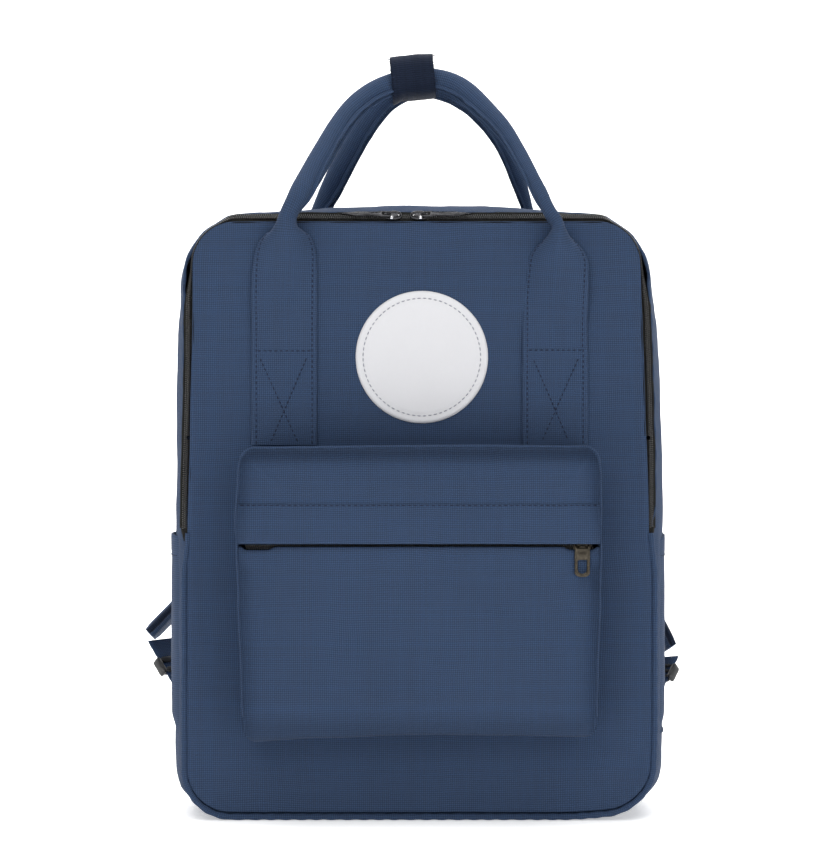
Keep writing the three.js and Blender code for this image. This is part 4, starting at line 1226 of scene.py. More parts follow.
front_ctrl = [(-83.8, -66, JOIN_Z), (-83.8, -66, 318), (-83.6, -66.5, 338), (-82.6, -69.5, 356), (-82.0, -71.8, 369), (-79.2, -72.2, 378.5), (-73.8, -70, 388),
              (-64.2, -56, 406.6), (-53.4, -41.5, 427.5), (-42.0, -27.5, 445.5), (-26, -15.5, 459), (-7, -13.2, 465), (9, -13.2, 465.8), (23, -15, 462),
              (37.2, -25.5, 448.5), (53.0, -40, 430.5), (63.2, -52, 411.8), (72.8, -65.5, 392.2), (79.2, -72, 378.5), (85.0, -73, 368.4), (86.0, -71, 357.5),
              (84.9, -67.5, 340), (83.9, -66, 318), (83.9, -66, JOIN_Z)]
LEFT_THETA = [(0, 0), (26, 0.1), (45, 0.55), (55, 1.1), (63, 1.9), (68, 2.6), (73, 3.9), (78, 5.6), (84, 6.28)]
RIGHT_THETA = [(0, 0), (14, 0.1), (36, 0.6), (50, 1.3), (60, 2.2), (66, 3.1), (71, 4.4), (77, 5.8), (84, 6.28)]
st, total = handle_stations(front_ctrl, Vector((0, -1, 0)), LEFT_THETA, RIGHT_THETA,
                            [(60, 0.0), (84, 0.28), (125, 0.9), (150, 1.0)], [(52, -0.25), (84, 0.3), (125, 0.9), (150, 1.0)],
                            [(60, 1.0), (76, 0.86), (84, 0.82), (105, 1.02), (190, 1.02)],
                            [(55, 1.0), (68, 0.72), (78, 0.62), (90, 0.80), (112, 1.05), (150, 1.05), (185, 1.0)], 0.48, True,
                            ((60, 1.0), (76, 0.82), (92, 0.67), (106, 0.64), (132, 0.72), (165, 0.86), (195, 1.0)))
handle, threads = strip_mesh(st, THICK, "front_handle_rolled", M['strap'], drape=lambda c: smooth(330, 298, c.z))
for ob in (handle, threads):
    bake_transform(ob)
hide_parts("front_handle")

# the part sewn to the panel, with its box and cross stitching
for side, cx, x_lines, hz in (("left", -83.8, (((-98.9, 287.2), (-75.3, 235.0)), ((-69.8, 287.2), (-92.1, 235.0))), 291.4),
                              ("right", 83.9, (((70.5, 286.0), (91.6, 237.0)), ((98.3, 286.9), (75.9, 236.0))), 291.9)):
    z0 = 233.2
    n = 46
    stn = []
    for i in range(n + 1):
        z = lerp(z0, JOIN_Z, i / n)
        stn.append((Vector((cx, front_y(cx, z) - 0.25 - THICK / 2, z)), Vector((0, 0, 1)), Vector((0, -1, 0)), 0.0, 1.0, 1.0))
    low, thr = strip_mesh(stn, THICK, "front_strap_lower_" + side, M['strap'], drape=lambda c: 1.0)
    extra = []
    for a, b in x_lines + (((cx - 17, hz), (cx + 17, hz)),):
        line = []
        m = 24
        for i in range(m + 1):
            x, z = lerp(a[0], b[0], i / m), lerp(a[1], b[1], i / m)
            line.append((x, front_y(x, z) - 0.25 - THICK - 0.02, z))
        extra.append(stitches(line, [(0, -1, 0)] * len(line), 3.1, 2.3, 0.34, 0.16))
    more = join(extra, "front_strap_cross_stitching_" + side, M['thread'])
    for ob in (low, thr, more):
        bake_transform(ob)
    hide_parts("front_strap_end_" + side)

# ------------------------------------------------------------------ back handle
back_ctrl = [(-74, 62.2, 298), (-74, 62.2, 330), (-73.8, 63.4, 350), (-72, 66.5, 368), (-67.5, 66.5, 381), (-61.0, 61, 395), (-54.8, 52, 406.5), (-44.5, 37, 424.5), (-34.5, 24, 440),
             (-20, 14.6, 457), (-5, 13.2, 463.2), (11, 13.2, 463.8), (29.4, 17, 455.5), (46.6, 28.5, 440), (55.8, 38.5, 426), (64.4, 51, 406.5),
             (71.2, 62, 388), (73.4, 66.5, 375), (73.8, 65.5, 362), (74, 63.2, 348), (74, 62.2, 330), (74, 62.2, 298)]
BT = [(0, 0), (46, 0.0), (54, 0.7), (62, 2.2), (70, 4.4), (78, 6.0), (83, 6.28)]
st, total = handle_stations(back_ctrl, Vector((0, 1, 0)), BT, BT, [(58, 0.0), (84, 0.45), (120, 1.0)], [(58, 0.0), (84, 0.45), (120, 1.0)],
                            [(60, 1.0), (80, 0.86), (120, 0.92)], [(60, 1.0), (78, 0.86), (120, 1.0), (150, 1.0)], 0.45, False,
                            ((40, 1.0), (62, 0.78), (84, 0.62), (128, 0.68), (170, 0.88), (200, 1.0)))
bh, bthr = strip_mesh(st, 2.2, "back_handle_rolled", M['strap'])
for ob in (bh, bthr):
    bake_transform(ob)
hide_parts("back_handle", "back_strap_end_left", "back_strap_end_right")
bx = []
for cx in (-74, 74):
    for a, b in (((cx - 15, 340), (cx + 15, 304)), ((cx + 15, 340), (cx - 15, 304)), ((cx - 17, 303), (cx + 17, 303)), ((cx - 17, 341), (cx + 17, 341))):
        line = [(lerp(a[0], b[0], i / 12), 63.34, lerp(a[1], b[1], i / 12)) for i in range(13)]
        bx.append(stitches(line, [(0, 1, 0)] * 13, 3.1, 2.3, 0.34, 0.16))
ob = join(bx, "back_handle_cross_stitching", M['thread'])
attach(ob, "bag")


# ------------------------------------------------------------------ the tab that holds the two handles together
def tab_half(name, body, sign, node):
    n, m = 44, 22
    rows = []
    b = Builder()
    for k in range(m + 1):
        f = k / m
        row_o, row_i = [], []
        for i in range(n + 1):
            a = lerp(PI / 2, -PI / 2, i / n)          # over the top, round the handle, under
            ca, sa = math.cos(a), math.sin(a)
            y = 22.6 * abs(ca) ** 0.62
            z = 13.6 * math.copysign(abs(sa) ** 0.72, sa)
            x = lerp(-13.6, 13.6, f)
            x += -0.095 * z * 0.9 + 0.5 * fbm(z / 6.0, sign, f * 3) * (abs(f - 0.5) * 2) ** 3
            sag = 0.8 * math.cos((f - 0.5) * PI) * (1 if sa > 0 else -0.5)
            tilt = 0.085 * x
            zz = z + tilt + sag + 0.45 * fbm(x / 9.0, y / 9.0, 4.0 + sign)
            # the cut end hangs a little below at one corner
            zz -= 2.4 * smooth(0.30, 0.0, f) * smooth(-0.3, -1.0, sa) if sign < 0 else 0
            yy = sign * max(y + 0.5 * fbm(x / 12.0, z / 8.0, 1.0), 0.35)
            yy *= 1 + 0.03 * math.sin(f * 9)
            nrm = Vector((0, sign * max(ca, 0.05) / 22, sa / 14)).normalized()
            p = Vector((-4.3 + x, yy, 467.3 + zz))
            row_o.append(p)
            q = p - nrm * 1.5
            q.y = sign * max(sign * q.y, 0.32)
            row_i.append(q)
        rows.append((row_o, row_i))
    arc = [0.0]
    for i in range(n):
        arc.append(arc[-1] + (rows[m // 2][0][i + 1] - rows[m // 2][0][i]).length)
    rings = [ro + list(reversed(ri)) for ro, ri in rows]
    wr = arc + [arc[-1] * 2 - a + 1.5 for a in reversed(arc)]
    v_, f_, u_ = tube_grid(rings, lambda i, j: (lerp(0, 27.2, min(i, m) / m), wr[j] if j < len(wr) else wr[-1] + 1.5))
    ob = new_object(name, v_, f_, M['webbing'], u_)
    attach(ob, body)
    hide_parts(node)
    # loose weft threads at the two selvedges
    fb = Builder()
    for k, f in ((0, -1), (m, 1)):
        for i in range(2, n - 1, 2):
            p = rows[k][0][i]
            if hsh(i, k + sign) < 0.45:
                continue
            L = 0.6 + 1.5 * hsh(i + 5, k)
            q = p + Vector((f * L, sign * 0.2, (hsh(i, 3) - 0.5) * 1.6))
            v1, f1, u1 = round_tube([p - Vector((f * 0.8, 0, 0)), p + (q - p) * 0.5 + Vector((0, sign * 0.25, 0)), q], 0.17, 5)
            fb.add(v1, f1, u1)
    fz = fb.make(name + "_threads", M['thread'])
    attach(fz, body)
    return ob


tab_half("handle_tab_webbing_front", "front_handle", -1, "handle_tab_front")
tab_half("handle_tab_webbing_rear", "back_handle", 1, "handle_tab_rear")

# ------------------------------------------------------------------ round patch
PX, PZ, PR = 1.4, 287.6, 41.0
b = Builder()
rows = 26
nseg = 120
grid = []
for k in range(1, rows + 1):
    r = PR * (k / rows) ** 0.8
    row = []
    for j in range(nseg):
        a = 2 * PI * j / nseg
        x, z = PX + r * math.cos(a), PZ + r * math.sin(a)
        base = front_y(x, z) - 0.15
        lift = 1.15 + 0.12 * fbm(x / 14, 0, z / 14) - 0.35 * math.exp(-((r - 36.4) / 1.1) ** 2) + 0.12 * math.sin(a * 34) * smooth(34, 40, r)
        lift *= math.sqrt(max(1 - (max(r - 40.2, 0) / 0.85) ** 2, 0.05))
        row.append(b.vert((x, base - lift, z)))
    grid.append(row)
c = b.vert((PX, front_y(PX, PZ) - 1.3, PZ))
for k in range(rows - 1):
    for j in range(nseg):
        j2 = (j + 1) % nseg
        b.face((grid[k][j], grid[k][j2], grid[k + 1][j2], grid[k + 1][j]))
for j in range(nseg):
    b.face((c, grid[0][(j + 1) % nseg], grid[0][j]))
edge = [b.vert((b.v[i][0], front_y(b.v[i][0], b.v[i][2]) + 0.1, b.v[i][2])) for i in grid[-1]]
for j in range(nseg):
    j2 = (j + 1) % nseg
    b.face((grid[-1][j], grid[-1][j2], edge[j2], edge[j]))
cb = b.vert((PX, front_y(PX, PZ) + 0.1, PZ))
mid = []
for k in (0.75, 0.5, 0.25):
    mid.append([b.vert((PX + (b.v[i][0] - PX) * k, front_y(PX + (b.v[i][0] - PX) * k, PZ + (b.v[i][2] - PZ) * k) + 0.1, PZ + (b.v[i][2] - PZ) * k)) for i in edge])
seq = [edge] + mid
for r0, r1 in zip(seq, seq[1:]):
    for j in range(nseg):
        j2 = (j + 1) % nseg
        b.face((r0[j], r0[j2], r1[j2], r1[j]))
for j in range(nseg):
    b.face((seq[-1][j], seq[-1][(j + 1) % nseg], cb))
v_, f_, u_ = orient(b.v, b.f, b.uv)
b.f, b.uv = f_, u_
patch = b.make("round_badge_blank", M['patch'])
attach(patch, "flap")
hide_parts("round_patch")
line, nrm = [], []
for j in range(241):
    a = 2 * PI * j / 240
    x, z = PX + 36.4 * math.cos(a), PZ + 36.4 * math.sin(a)
    line.append((x, front_y(x, z) - 1.02, z))
    nrm.append((0, -1, 0))
ob = stitches(line, nrm, 3.35, 2.5, 0.36, 0.18).make("badge_stitching", M['thread_grey'])
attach(ob, "flap")



# ------------------------------------------------------------------ front pocket
def pocket_warp(x, z):
    """The sewn pocket is a little out of square, and its lower edge hangs."""
    left = table([(60, 3.0), (90, 1.9), (140, 0.0), (172, -0.9), (187, -1.9), (212, -0.2), (230, 1.2)], z)
    right = table([(60, -2.6), (100, -2.0), (140, -0.5), (173, 0.1), (212, 0.1), (230, -1.4)], z)
    low = table([(-107, -1.5), (-60, 0.8), (0, 2.7), (60, 2.2), (107, 1.3)], x)
    return (x + left * smooth(-20, -110, x) + right * smooth(20, 110, x),
            z - (1.9 if x > 0 else 2.0) * smooth(87, 91, abs(x)) * smooth(108, 105, abs(x)) * smooth(164, 170, z) * smooth(172.6, 171.6, z) + low * smooth(115, 56, z) + 0.7 * math.sin(x / 60.0 + 1.0) * smooth(215, 232, z))


def pocket_hw(z):
    inset = 0.0
    for edge in (PK_Z1 - z, z - PK_Z0):
        k = 9.0 - max(edge, 0.0)
        if k > 0:
            inset = max(inset, 9.0 - math.sqrt(max(81.0 - k * k, 0.0)))
    return PK_HW - inset


def pocket_y(x, z):
    """Outer face of the pocket before the warp: crowned, with a sewn rim except along the bottom."""
    d = max(outline_distance(x, z, PK_HW, PK_Z0, PK_Z1, 9), 0.0)
    low = smooth(66, 58, z) * smooth(PK_HW, PK_HW - 10, abs(x)) + smooth(58, 54, z) * 0.5
    rim = (1 - min(low, 1.0))
    y = -97.2
    y -= rim * (1.3 * math.exp(-((d - 0.4) / 0.9) ** 2) - 1.5 * smooth(0.5, 2.6, d) * math.exp(-(max(d - 2.6, 0.0) / 5.5) ** 2))
    y -= 2.6 * smooth(3, 30, d) + 1.3 * smooth(24, 90, d)
    y -= 0.7 * fbm(x / 70.0, 4.0, z / 60.0) * smooth(3, 25, d)
    y -= 0.35 * fbm(x / 24.0, 14.0, z / 30.0) * smooth(4, 16, d)
    # the bottom rolls under
    r = 11.0
    k = max(PK_Z0 + r - z, 0.0)
    y += (r - math.sqrt(max(r * r - k * k, 0.0))) * 0.95
    # diagonal pull from the top corners
    for s in (-1, 1):
        dx, dz = s * x - (PK_HW - 7), z - (PK_Z1 - 9)
        y -= 0.8 * math.exp(-((dx - dz) / 4.5) ** 2) * smooth(-26, -6, dz) * smooth(5, -2, dx)
    # crease by the end of the zip
    y += 0.9 * math.exp(-((x - 107.5 + (z - 150) * 0.12) / 1.2) ** 2) * smooth(140, 147, z) * smooth(158, 151, z)
    return y


def spread(n, tight=0.72):
    """-1..1, closer together near both ends."""
    return [math.copysign(1 - (1 - abs(t)) ** (1 / tight) if False else abs(t) ** tight, t) for t in (2 * i / n - 1 for i in range(n + 1))]


def pocket_sheet(name, z_top, z_bottom, rows, cols, surf, thick, body_mats, top_fold=False, bottom_fold=False, side_in=0.0):
    """Rows from top to bottom; a closed sheet whose folded edges are rounded."""
    b = Builder()
    xs = spread(cols)
    outer, inner = [], []
    for k in range(rows + 1):
        z = lerp(z_top, z_bottom, k / rows)
        hw = pocket_hw(z) - side_in
        ro, ri = [], []
        for t in xs:
            x = hw * t
            y = surf(x, z)
            th = thick
            wx, wz = pocket_warp(x, z)
            e = 0.0
            if top_fold:
                e = max(e, 1 - (z_top - z) / 1.6)
            if bottom_fold:
                e = max(e, 1 - (z - z_bottom) / 1.6)
            e = max(e, 0.0)
            cutb = thick * 0.42 * e * e
            ro.append(b.vert((wx, y + cutb, wz)))
            ri.append((wx, y + th - cutb, wz))
        outer.append(ro)
        inner.append(ri)
    inner = [[b.vert(p) for p in r] for r in inner]
    for k in range(rows):
        for j in range(cols):
            b.face((outer[k][j], outer[k + 1][j], outer[k + 1][j + 1], outer[k][j + 1]), mat=0)
            b.face((inner[k][j], inner[k][j + 1], inner[k + 1][j + 1], inner[k + 1][j]), mat=0)
        b.face((outer[k][0], inner[k][0], inner[k + 1][0], outer[k + 1][0]))
        b.face((outer[k][-1], outer[k + 1][-1], inner[k + 1][-1], inner[k][-1]))
    for j in range(cols):
        b.face((outer[0][j], outer[0][j + 1], inner[0][j + 1], inner[0][j]))
        b.face((outer[-1][j], inner[-1][j], inner[-1][j + 1], outer[-1][j + 1]))
    v_, f_, u_ = orient(b.v, b.f, b.uv)
    b.f, b.uv = f_, u_
    ob = b.make(name, body_mats)
    return ob


LOWER_TOP = 171.6
HEM_EDGE = 173.3


def lower_surface(x, z):
    y = pocket_y(x, z)
    k = smooth(155, 165, z)
    return lerp(y, min(y, -99.75 - 0.25 * fbm(x / 30.0, 0, 7.0) + 0.6 * smooth(80, 88, abs(x))), k)


def upper_surface(x, z):
    return pocket_y(x, z)


def hem_surface(x, z):
    """The hem hangs from its stitch line and stands off over the slider."""
    base = pocket_y(x, z) - 0.15
    t = smooth(197.0, 176.0, z)
    edge = outline_distance(x, 150, PK_HW, PK_Z0, PK_Z1, 9)
    out = -102.75 - 0.3 * fbm(x / 42.0, 0, 3.0) * smooth(2, 12, edge)
    out = lerp(min(base - 1.25, -100.4), out, smooth(0.2, 4.5, edge))
    y = lerp(base - 1.15 * smooth(197.8, 196.2, z), out, t)
    y += 0.35 * math.exp(-((z - 196.2) / 0.9) ** 2)
    y -= 0.35 * fbm(x / 30.0, z / 12.0, 5.0) * smooth(196, 186, z) * smooth(2, 12, edge)
    return y


ob = pocket_sheet("pocket_front_lower_cloth", LOWER_TOP, PK_Z0 + 0.3, 84, 110, lower_surface, 1.2, [M['cloth_pocket_painted_shade']], top_fold=True)
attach(ob, "bag")
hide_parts("pocket_front_lower")
ob = pocket_sheet("pocket_front_upper_cloth", PK_Z1, 176.4, 52, 110, upper_surface, 1.2, [M['cloth_pocket_painted_shade']], bottom_fold=True)
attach(ob, "bag")
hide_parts("pocket_front_upper")
ob = pocket_sheet("pocket_hem_cloth", 197.8, HEM_EDGE, 30, 110, hem_surface, 1.1, [M['cloth_pocket_painted_shade']], bottom_fold=True, side_in=-0.5)
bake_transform(ob)
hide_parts("pocket_hem")
line = []
for i in range(160):
    x = lerp(-108.5, 108.5, i / 159)
    wx, wz = pocket_warp(x, 196.7)
    line.append((wx, hem_surface(x, 196.7) - 0.03, wz))
ob = stitches(line, [(0, -1, 0)] * len(line), 3.6, 2.3, 0.24, 0.06).make("pocket_hem_stitching", M['thread'])
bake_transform(ob)

# the pocket's side band
b = Builder()
loop = rounded_outline(PK_HW, PK_Z0, PK_Z1, 9, 12, 34)
rows = 16
outer, inner = [], []
arc = [0.0]
for p, q in zip(loop, loop[1:]):
    arc.append(arc[-1] + math.hypot(q[0] - p[0], q[1] - p[1]))
for k in range(rows + 1):
    t = k / rows
    ro, ri = [], []
    for i, (x, z) in enumerate(loop):
        wx, wz = pocket_warp(x, z)
        back = front_y(wx, wz) + 0.6
        yf = pocket_y(x * 0.995, z) + 0.7
        y = lerp(yf, back, t)
        cx, cz = max(abs(x) - (PK_HW - 9), 0) * (1 if x > 0 else -1), (z - (PK_Z1 - 9) if z > PK_Z1 - 9 else (z - (PK_Z0 + 9) if z < PK_Z0 + 9 else 0))
        L = math.hypot(cx, cz) or 1
        nx, nz = cx / L, cz / L
        draw = -1.5 * smooth(0.0, 0.25, t) + 0.9 * math.sin(PI * t) * fbm(x / 26.0, t * 2, z / 26.0) + 0.25 * math.sin(arc[i] / 2.9) * math.exp(-t * 7)
        hang = 0.3 * smooth(60, 54, z)
        ro.append(b.vert((wx + nx * draw, y, wz + nz * draw + hang)))
        ri.append((wx + nx * (draw - 1.1), y, wz + nz * (draw - 1.1) + hang))
    outer.append(ro)
    inner.append(ri)
inner = [[b.vert(p) for p in r] for r in inner]
n = len(loop)
full = arc[-1] + math.hypot(loop[0][0] - loop[-1][0], loop[0][1] - loop[-1][1])
for k in range(rows):
    for j in range(n):
        j2 = (j + 1) % n
        a0, a1 = arc[j], (arc[j2] if j2 else full)
        y0, y1 = k * 2.2, (k + 1) * 2.2
        b.face((outer[k][j], outer[k][j2], outer[k + 1][j2], outer[k + 1][j]), [(y0, a0), (y0, a1), (y1, a1), (y1, a0)])
        b.face((inner[k][j], inner[k + 1][j], inner[k + 1][j2], inner[k][j2]), [(y0, a0), (y1, a0), (y1, a1), (y0, a1)])
for k in (0, rows):
    for j in range(n):
        j2 = (j + 1) % n
        f = (outer[k][j], inner[k][j], inner[k][j2], outer[k][j2])
        b.face(f if k == 0 else tuple(reversed(f)))
v_, f_, u_ = orient(b.v, b.f, b.uv)
b.f, b.uv = f_, u_
ob = b.make("pocket_side_band", M['cloth'])
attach(ob, "bag")
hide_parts("pocket_gusset_top", "pocket_gusset_bottom", "pocket_gusset_left", "pocket_gusset_right")

# rim: the raw seam turned outward along the top and both sides
pts = [(x, z) for x, z in loop if z > PK_Z0 + 12]
start = min(range(len(pts)), key=lambda i: (pts[i][0] < 0, pts[i][1] if pts[i][0] > 0 else 1e9))
ordered = sorted([p for p in pts if p[0] > 0 and p[1] < PK_Z1 - 9], key=lambda p: p[1]) + \
    sorted([p for p in pts if p[1] >= PK_Z1 - 9], key=lambda p: -p[0]) + \
    sorted([p for p in pts if p[0] < 0 and p[1] < PK_Z1 - 9], key=lambda p: -p[1])
dense = []
for p, q in zip(ordered, ordered[1:]):
    m = max(int(math.hypot(q[0] - p[0], q[1] - p[1]) / 1.6), 1)
    dense += [(lerp(p[0], q[0], i / m), lerp(p[1], q[1], i / m)) for i in range(m)]
rings, lens = [], [0.0]
prev = None
cen = (0.0, 140.0)
for i, (x, z) in enumerate(dense):
    wx, wz = pocket_warp(x, z)
    cx, cz = max(abs(x) - (PK_HW - 9), 0) * (1 if x > 0 else -1), (z - (PK_Z1 - 9) if z > PK_Z1 - 9 else 0)
    L = math.hypot(cx, cz) or 1
    nx, nz = cx / L, cz / L
    if i:
        lens.append(lens[-1] + math.hypot(x - dense[i - 1][0], z - dense[i - 1][1]))
    tall = 3.5 + 0.5 * fbm(lens[-1] / 14.0, 0, 8.0)
    lean = 0.3 * fbm(lens[-1] / 30.0, 3.0, 8.0)
    wdt = 0.62
    ring = []
    for dn, dy in ((-wdt, 1.2), (-wdt * 0.9, -tall * 0.7), (-wdt * 0.4, -tall), (wdt * 0.4, -tall), (wdt * 0.9, -tall * 0.7), (wdt, 1.2)):
        k = dn + lean - 0.15
        ring.append((wx + nx * k, -97.2 + dy * 0.95 - 0.2, wz + nz * k))
    rings.append(ring)
v_, f_, u_ = tube_grid(rings, lambda i, j: (j * 0.9, lens[min(i, len(lens) - 1)]))
ob = new_object("pocket_rim", v_, f_, M['cloth'], u_)
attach(ob, "bag")
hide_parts("pocket_piping")

# pocket zip
PZ_Y, PZ_Z, PZ_X = -96.0, 171.5, 106.0
ppath = [(-PZ_X + 1.3 * i, 0.0, 0.0, 1.0, 1.3 * i) for i in range(int(2 * PZ_X / 1.3) + 1)]


def pocket_zip_xyz(p, u, v):
    return (p[0], PZ_Y - v, PZ_Z + u)


for side, sg in (("upper", 1), ("lower", -1)):
    rings = []
    for p in ppath[::3] + [ppath[-1]]:
        rings.append([pocket_zip_xyz(p, sg * u, v) for u, v in ((1.7, 0.25), (4.2, 0.4), (7.4, 0.25), (7.4, -0.3), (1.7, -0.3))])
    v_, f_, u_ = tube_grid(rings, lambda i, j: (j * 2.0, i * 3.9))
    ob = new_object("pocket_zip_tape_" + side + "_knit", v_, f_, M['tape'], u_)
    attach(ob, "bag")
    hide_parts("pocket_zip_tape_" + side)
    ob = teeth_row(ppath, sg, "pocket_zip_teeth_" + side, "bag", place=pocket_zip_xyz)
    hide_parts("pocket_zip_coil_" + side)


# ------------------------------------------------------------------ zip sliders and pulls
def slab(outline, lo, hi, bevel, place, uv=0.6):
    """A bevelled plate from a star-shaped outline; place(a, b, h) gives the point."""
    cx = sum(p[0] for p in outline) / len(outline)
    cy = sum(p[1] for p in outline) / len(outline)

    def inset(d):
        out = []
        for x, y in outline:
            L = math.hypot(x - cx, y - cy)
            k = max(L - d, 0.05) / L
            out.append((cx + (x - cx) * k, cy + (y - cy) * k))
        return out
    layers = [(inset(bevel), lo), (inset(bevel * 0.3), lo + bevel * 0.3), (outline, lo + bevel), (outline, hi - bevel), (inset(bevel * 0.3), hi - bevel * 0.3), (inset(bevel), hi)]
    rings = [[place(x, y, h) for x, y in pts] for pts, h in layers]
    return tube_grid(rings, lambda i, j: (j * uv, i * uv))


def loop_slab(outer, inner, lo, hi, bevel, place):
    """A bevelled plate with one window; outer and inner have the same number of points."""
    n = len(outer)
    cx = sum(p[0] for p in inner) / n
    cy = sum(p[1] for p in inner) / n

    def toward(pts, d):
        out = []
        for x, y in pts:
            L = math.hypot(x - cx, y - cy) or 1
            out.append((x - (x - cx) / L * d, y - (y - cy) / L * d))
        return out
    prof = [(toward(outer, bevel), lo), (outer, lo + bevel), (outer, hi - bevel), (toward(outer, bevel), hi),
            (toward(inner, -bevel), hi), (inner, hi - bevel), (inner, lo + bevel), (toward(inner, -bevel), lo)]
    verts, faces = [], []
    for pts, h in prof:
        verts += [place(x, y, h) for x, y in pts]
    for k in range(8):
        k2 = (k + 1) % 8
        for j in range(n):
            j2 = (j + 1) % n
            faces.append((k * n + j, k * n + j2, k2 * n + j2, k2 * n + j))
    uvs = [[(verts[i][0], verts[i][2]) for i in f] for f in faces]
    return orient(verts, faces, uvs)


def rrect(x0, x1, y0, y1, r, n=6, per=4):
    pts = []
    for cx, cy, a0 in ((x1 - r, y1 - r, 0), (x0 + r, y1 - r, PI / 2), (x0 + r, y0 + r, PI), (x1 - r, y0 + r, 1.5 * PI)):
        for i in range(n + 1):
            a = a0 + PI / 2 * i / n
            pts.append((cx + r * math.cos(a), cy + r * math.sin(a)))
    out = []
    for p, q in zip(pts, pts[1:] + pts[:1]):
        L = math.hypot(q[0] - p[0], q[1] - p[1])
        m = per if L > r else 1
        out += [(lerp(p[0], q[0], i / m), lerp(p[1], q[1], i / m)) for i in range(m)]
    return out


def polar(pts, n, c):
    """n points at even angles on a star-shaped outline."""
    out = []
    for i in range(n):
        a = 2 * PI * i / n
        d = (math.cos(a), math.sin(a))
        best = None
        for p, q in zip(pts, pts[1:] + pts[:1]):
            ex, ey = q[0] - p[0], q[1] - p[1]
            den = d[0] * ey - d[1] * ex
            if abs(den) < 1e-9:
                continue
            t = ((p[0] - c[0]) * ey - (p[1] - c[1]) * ex) / den
            u = ((p[0] - c[0]) * d[1] - (p[1] - c[1]) * d[0]) / den
            if t > 0 and -1e-6 <= u <= 1 + 1e-6 and (best is None or t > best):
                best = t
        out.append((c[0] + d[0] * best, c[1] + d[1] * best))
    return out


def ball(c, r, squash=1.0, n=10):
    rings = []
    for i in range(1, n):
        a = PI * i / n
        rings.append([(c[0] + r * math.sin(a) * math.cos(2 * PI * j / 14), c[1] + r * squash * math.cos(a), c[2] + r * math.sin(a) * math.sin(2 * PI * j / 14)) for j in range(14)])
    return tube_grid(rings, lambda i, j: (j * 0.3, i * 0.3))


for side, x0, direction in (("left", -16.4, -1.0), ("right", -0.3, 1.0)):
    def place(s, u, v, x0=x0, direction=direction):
        return (x0 + direction * s, ZIP_Y + (u - v) * H, ZIP_TOP + (u + v) * H)
    # s runs from the nose (0) to the tail (11); two plates with flanges, a bridge and a rivet
    body = [(-5.4, -1.5), (-4.2, -2.7), (-1.5, -3.4), (2.5, -3.3), (4.2, -2.8), (5.5, -2.0), (5.5, 2.0), (4.2, 2.8), (2.5, 3.3), (-1.5, 3.4), (-4.2, 2.7), (-5.4, 1.5), (-5.6, 0)]
    b = Builder()
    b.add(*slab(polar(body, 36, (0, 0)), 1.2, 2.15, 0.3, place))
    low = [(s, min(max(u, -2.6), 2.5)) for s, u in body]
    b.add(*slab(polar(low, 36, (0, 0)), -1.9, -0.98, 0.3, place))
    for sg in (-1, 1):
        b.add(*slab(polar([(-4.6, sg * 2.5 - 0.35), (5.0, sg * 2.3 - 0.35), (5.0, sg * 2.3 + 0.35), (-4.6, sg * 2.5 + 0.35)], 16, (0, sg * 2.4)), 0.6 if sg > 0 else 0.75, 1.5, 0.12, place))
    arch = []
    for i in range(15):
        a = PI * i / 14
        arch.append(Vector(place(-0.4 - 4.0 * math.cos(a), 0.0, 1.9 + 3.0 * math.sin(a) ** 0.75)))
    b.add(*round_tube(arch, 0.82, 10, squash=0.85))
    ob = b.make("main_slider_" + side + "_cast", [M['metal']])
    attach(ob, "main_slider_" + side)
    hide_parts("main_slider_" + side)
    rv = Builder()
    for s_, u_ in ((0.9 if side == "left" else 0.9, -2.55),):
        c = place(s_, u_, 2.4)
        rv.add(*ball((c[0], c[1] - 0.15, c[2]), 1.35))
    c = place(-3.4, 0.0, 2.5)
    rv.add(*ball(c, 0.85))
    ob = rv.make("main_slider_" + side + "_rivets", [M['steel']])
    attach(ob, "main_slider_" + side)
    # the pull: a slim bar with an eye, lying along the teeth
    outer = polar([(1.2, -1.5), (2.2, -2.3), (7.5, -2.4), (10.5, -1.7), (29.0, -1.9), (32.0, -1.5), (32.9, 0), (32.0, 1.5), (29.0, 1.9), (10.5, 1.7), (7.5, 2.4), (2.2, 2.3), (1.2, 1.5)], 60, (5.0, 0))
    eye = polar(rrect(2.05, 6.8, -1.35, 1.35, 0.6), 60, (5.0, 0))
    b = Builder()
    b.add(*loop_slab(outer, eye, 2.65, 3.75, 0.22, place))
    b.add(*slab(polar(rrect(12.5, 30.2, -0.9, 0.9, 0.7), 40, (21, 0)), 3.5, 3.95, 0.15, place))
    ob = b.make("main_pull_" + side + "_bar", [M['metal']])
    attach(ob, "main_pull_" + side)
    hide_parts("main_pull_" + side)

# pocket slider and its antique pull
SX = 98.9


def pplace(x, z, v):
    return (SX + x, PZ_Y - v, PZ_Z + z)


b = Builder()
shield = [(-5.2, -2.2), (-2.6, -3.3), (3.2, -3.3), (5.2, -2.1), (5.2, 2.1), (3.2, 3.3), (-2.6, 3.3), (-5.2, 2.2)]
b.add(*slab(polar(shield, 32, (0, 0)), 1.25, 2.05, 0.25, pplace))
b.add(*slab(polar(shield, 32, (0, 0)), -1.9, -1.0, 0.25, pplace))
arch = []
for i in range(13):
    a = PI * i / 12
    arch.append(Vector(pplace(-2.6 * math.cos(a), 0.0, 1.8 + 2.75 * math.sin(a) ** 0.6)))
b.add(*round_tube(arch, 0.45, 8))
ob = b.make("pocket_slider_cast", [M['brass']])
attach(ob, "pocket_slider")
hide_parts("pocket_slider")

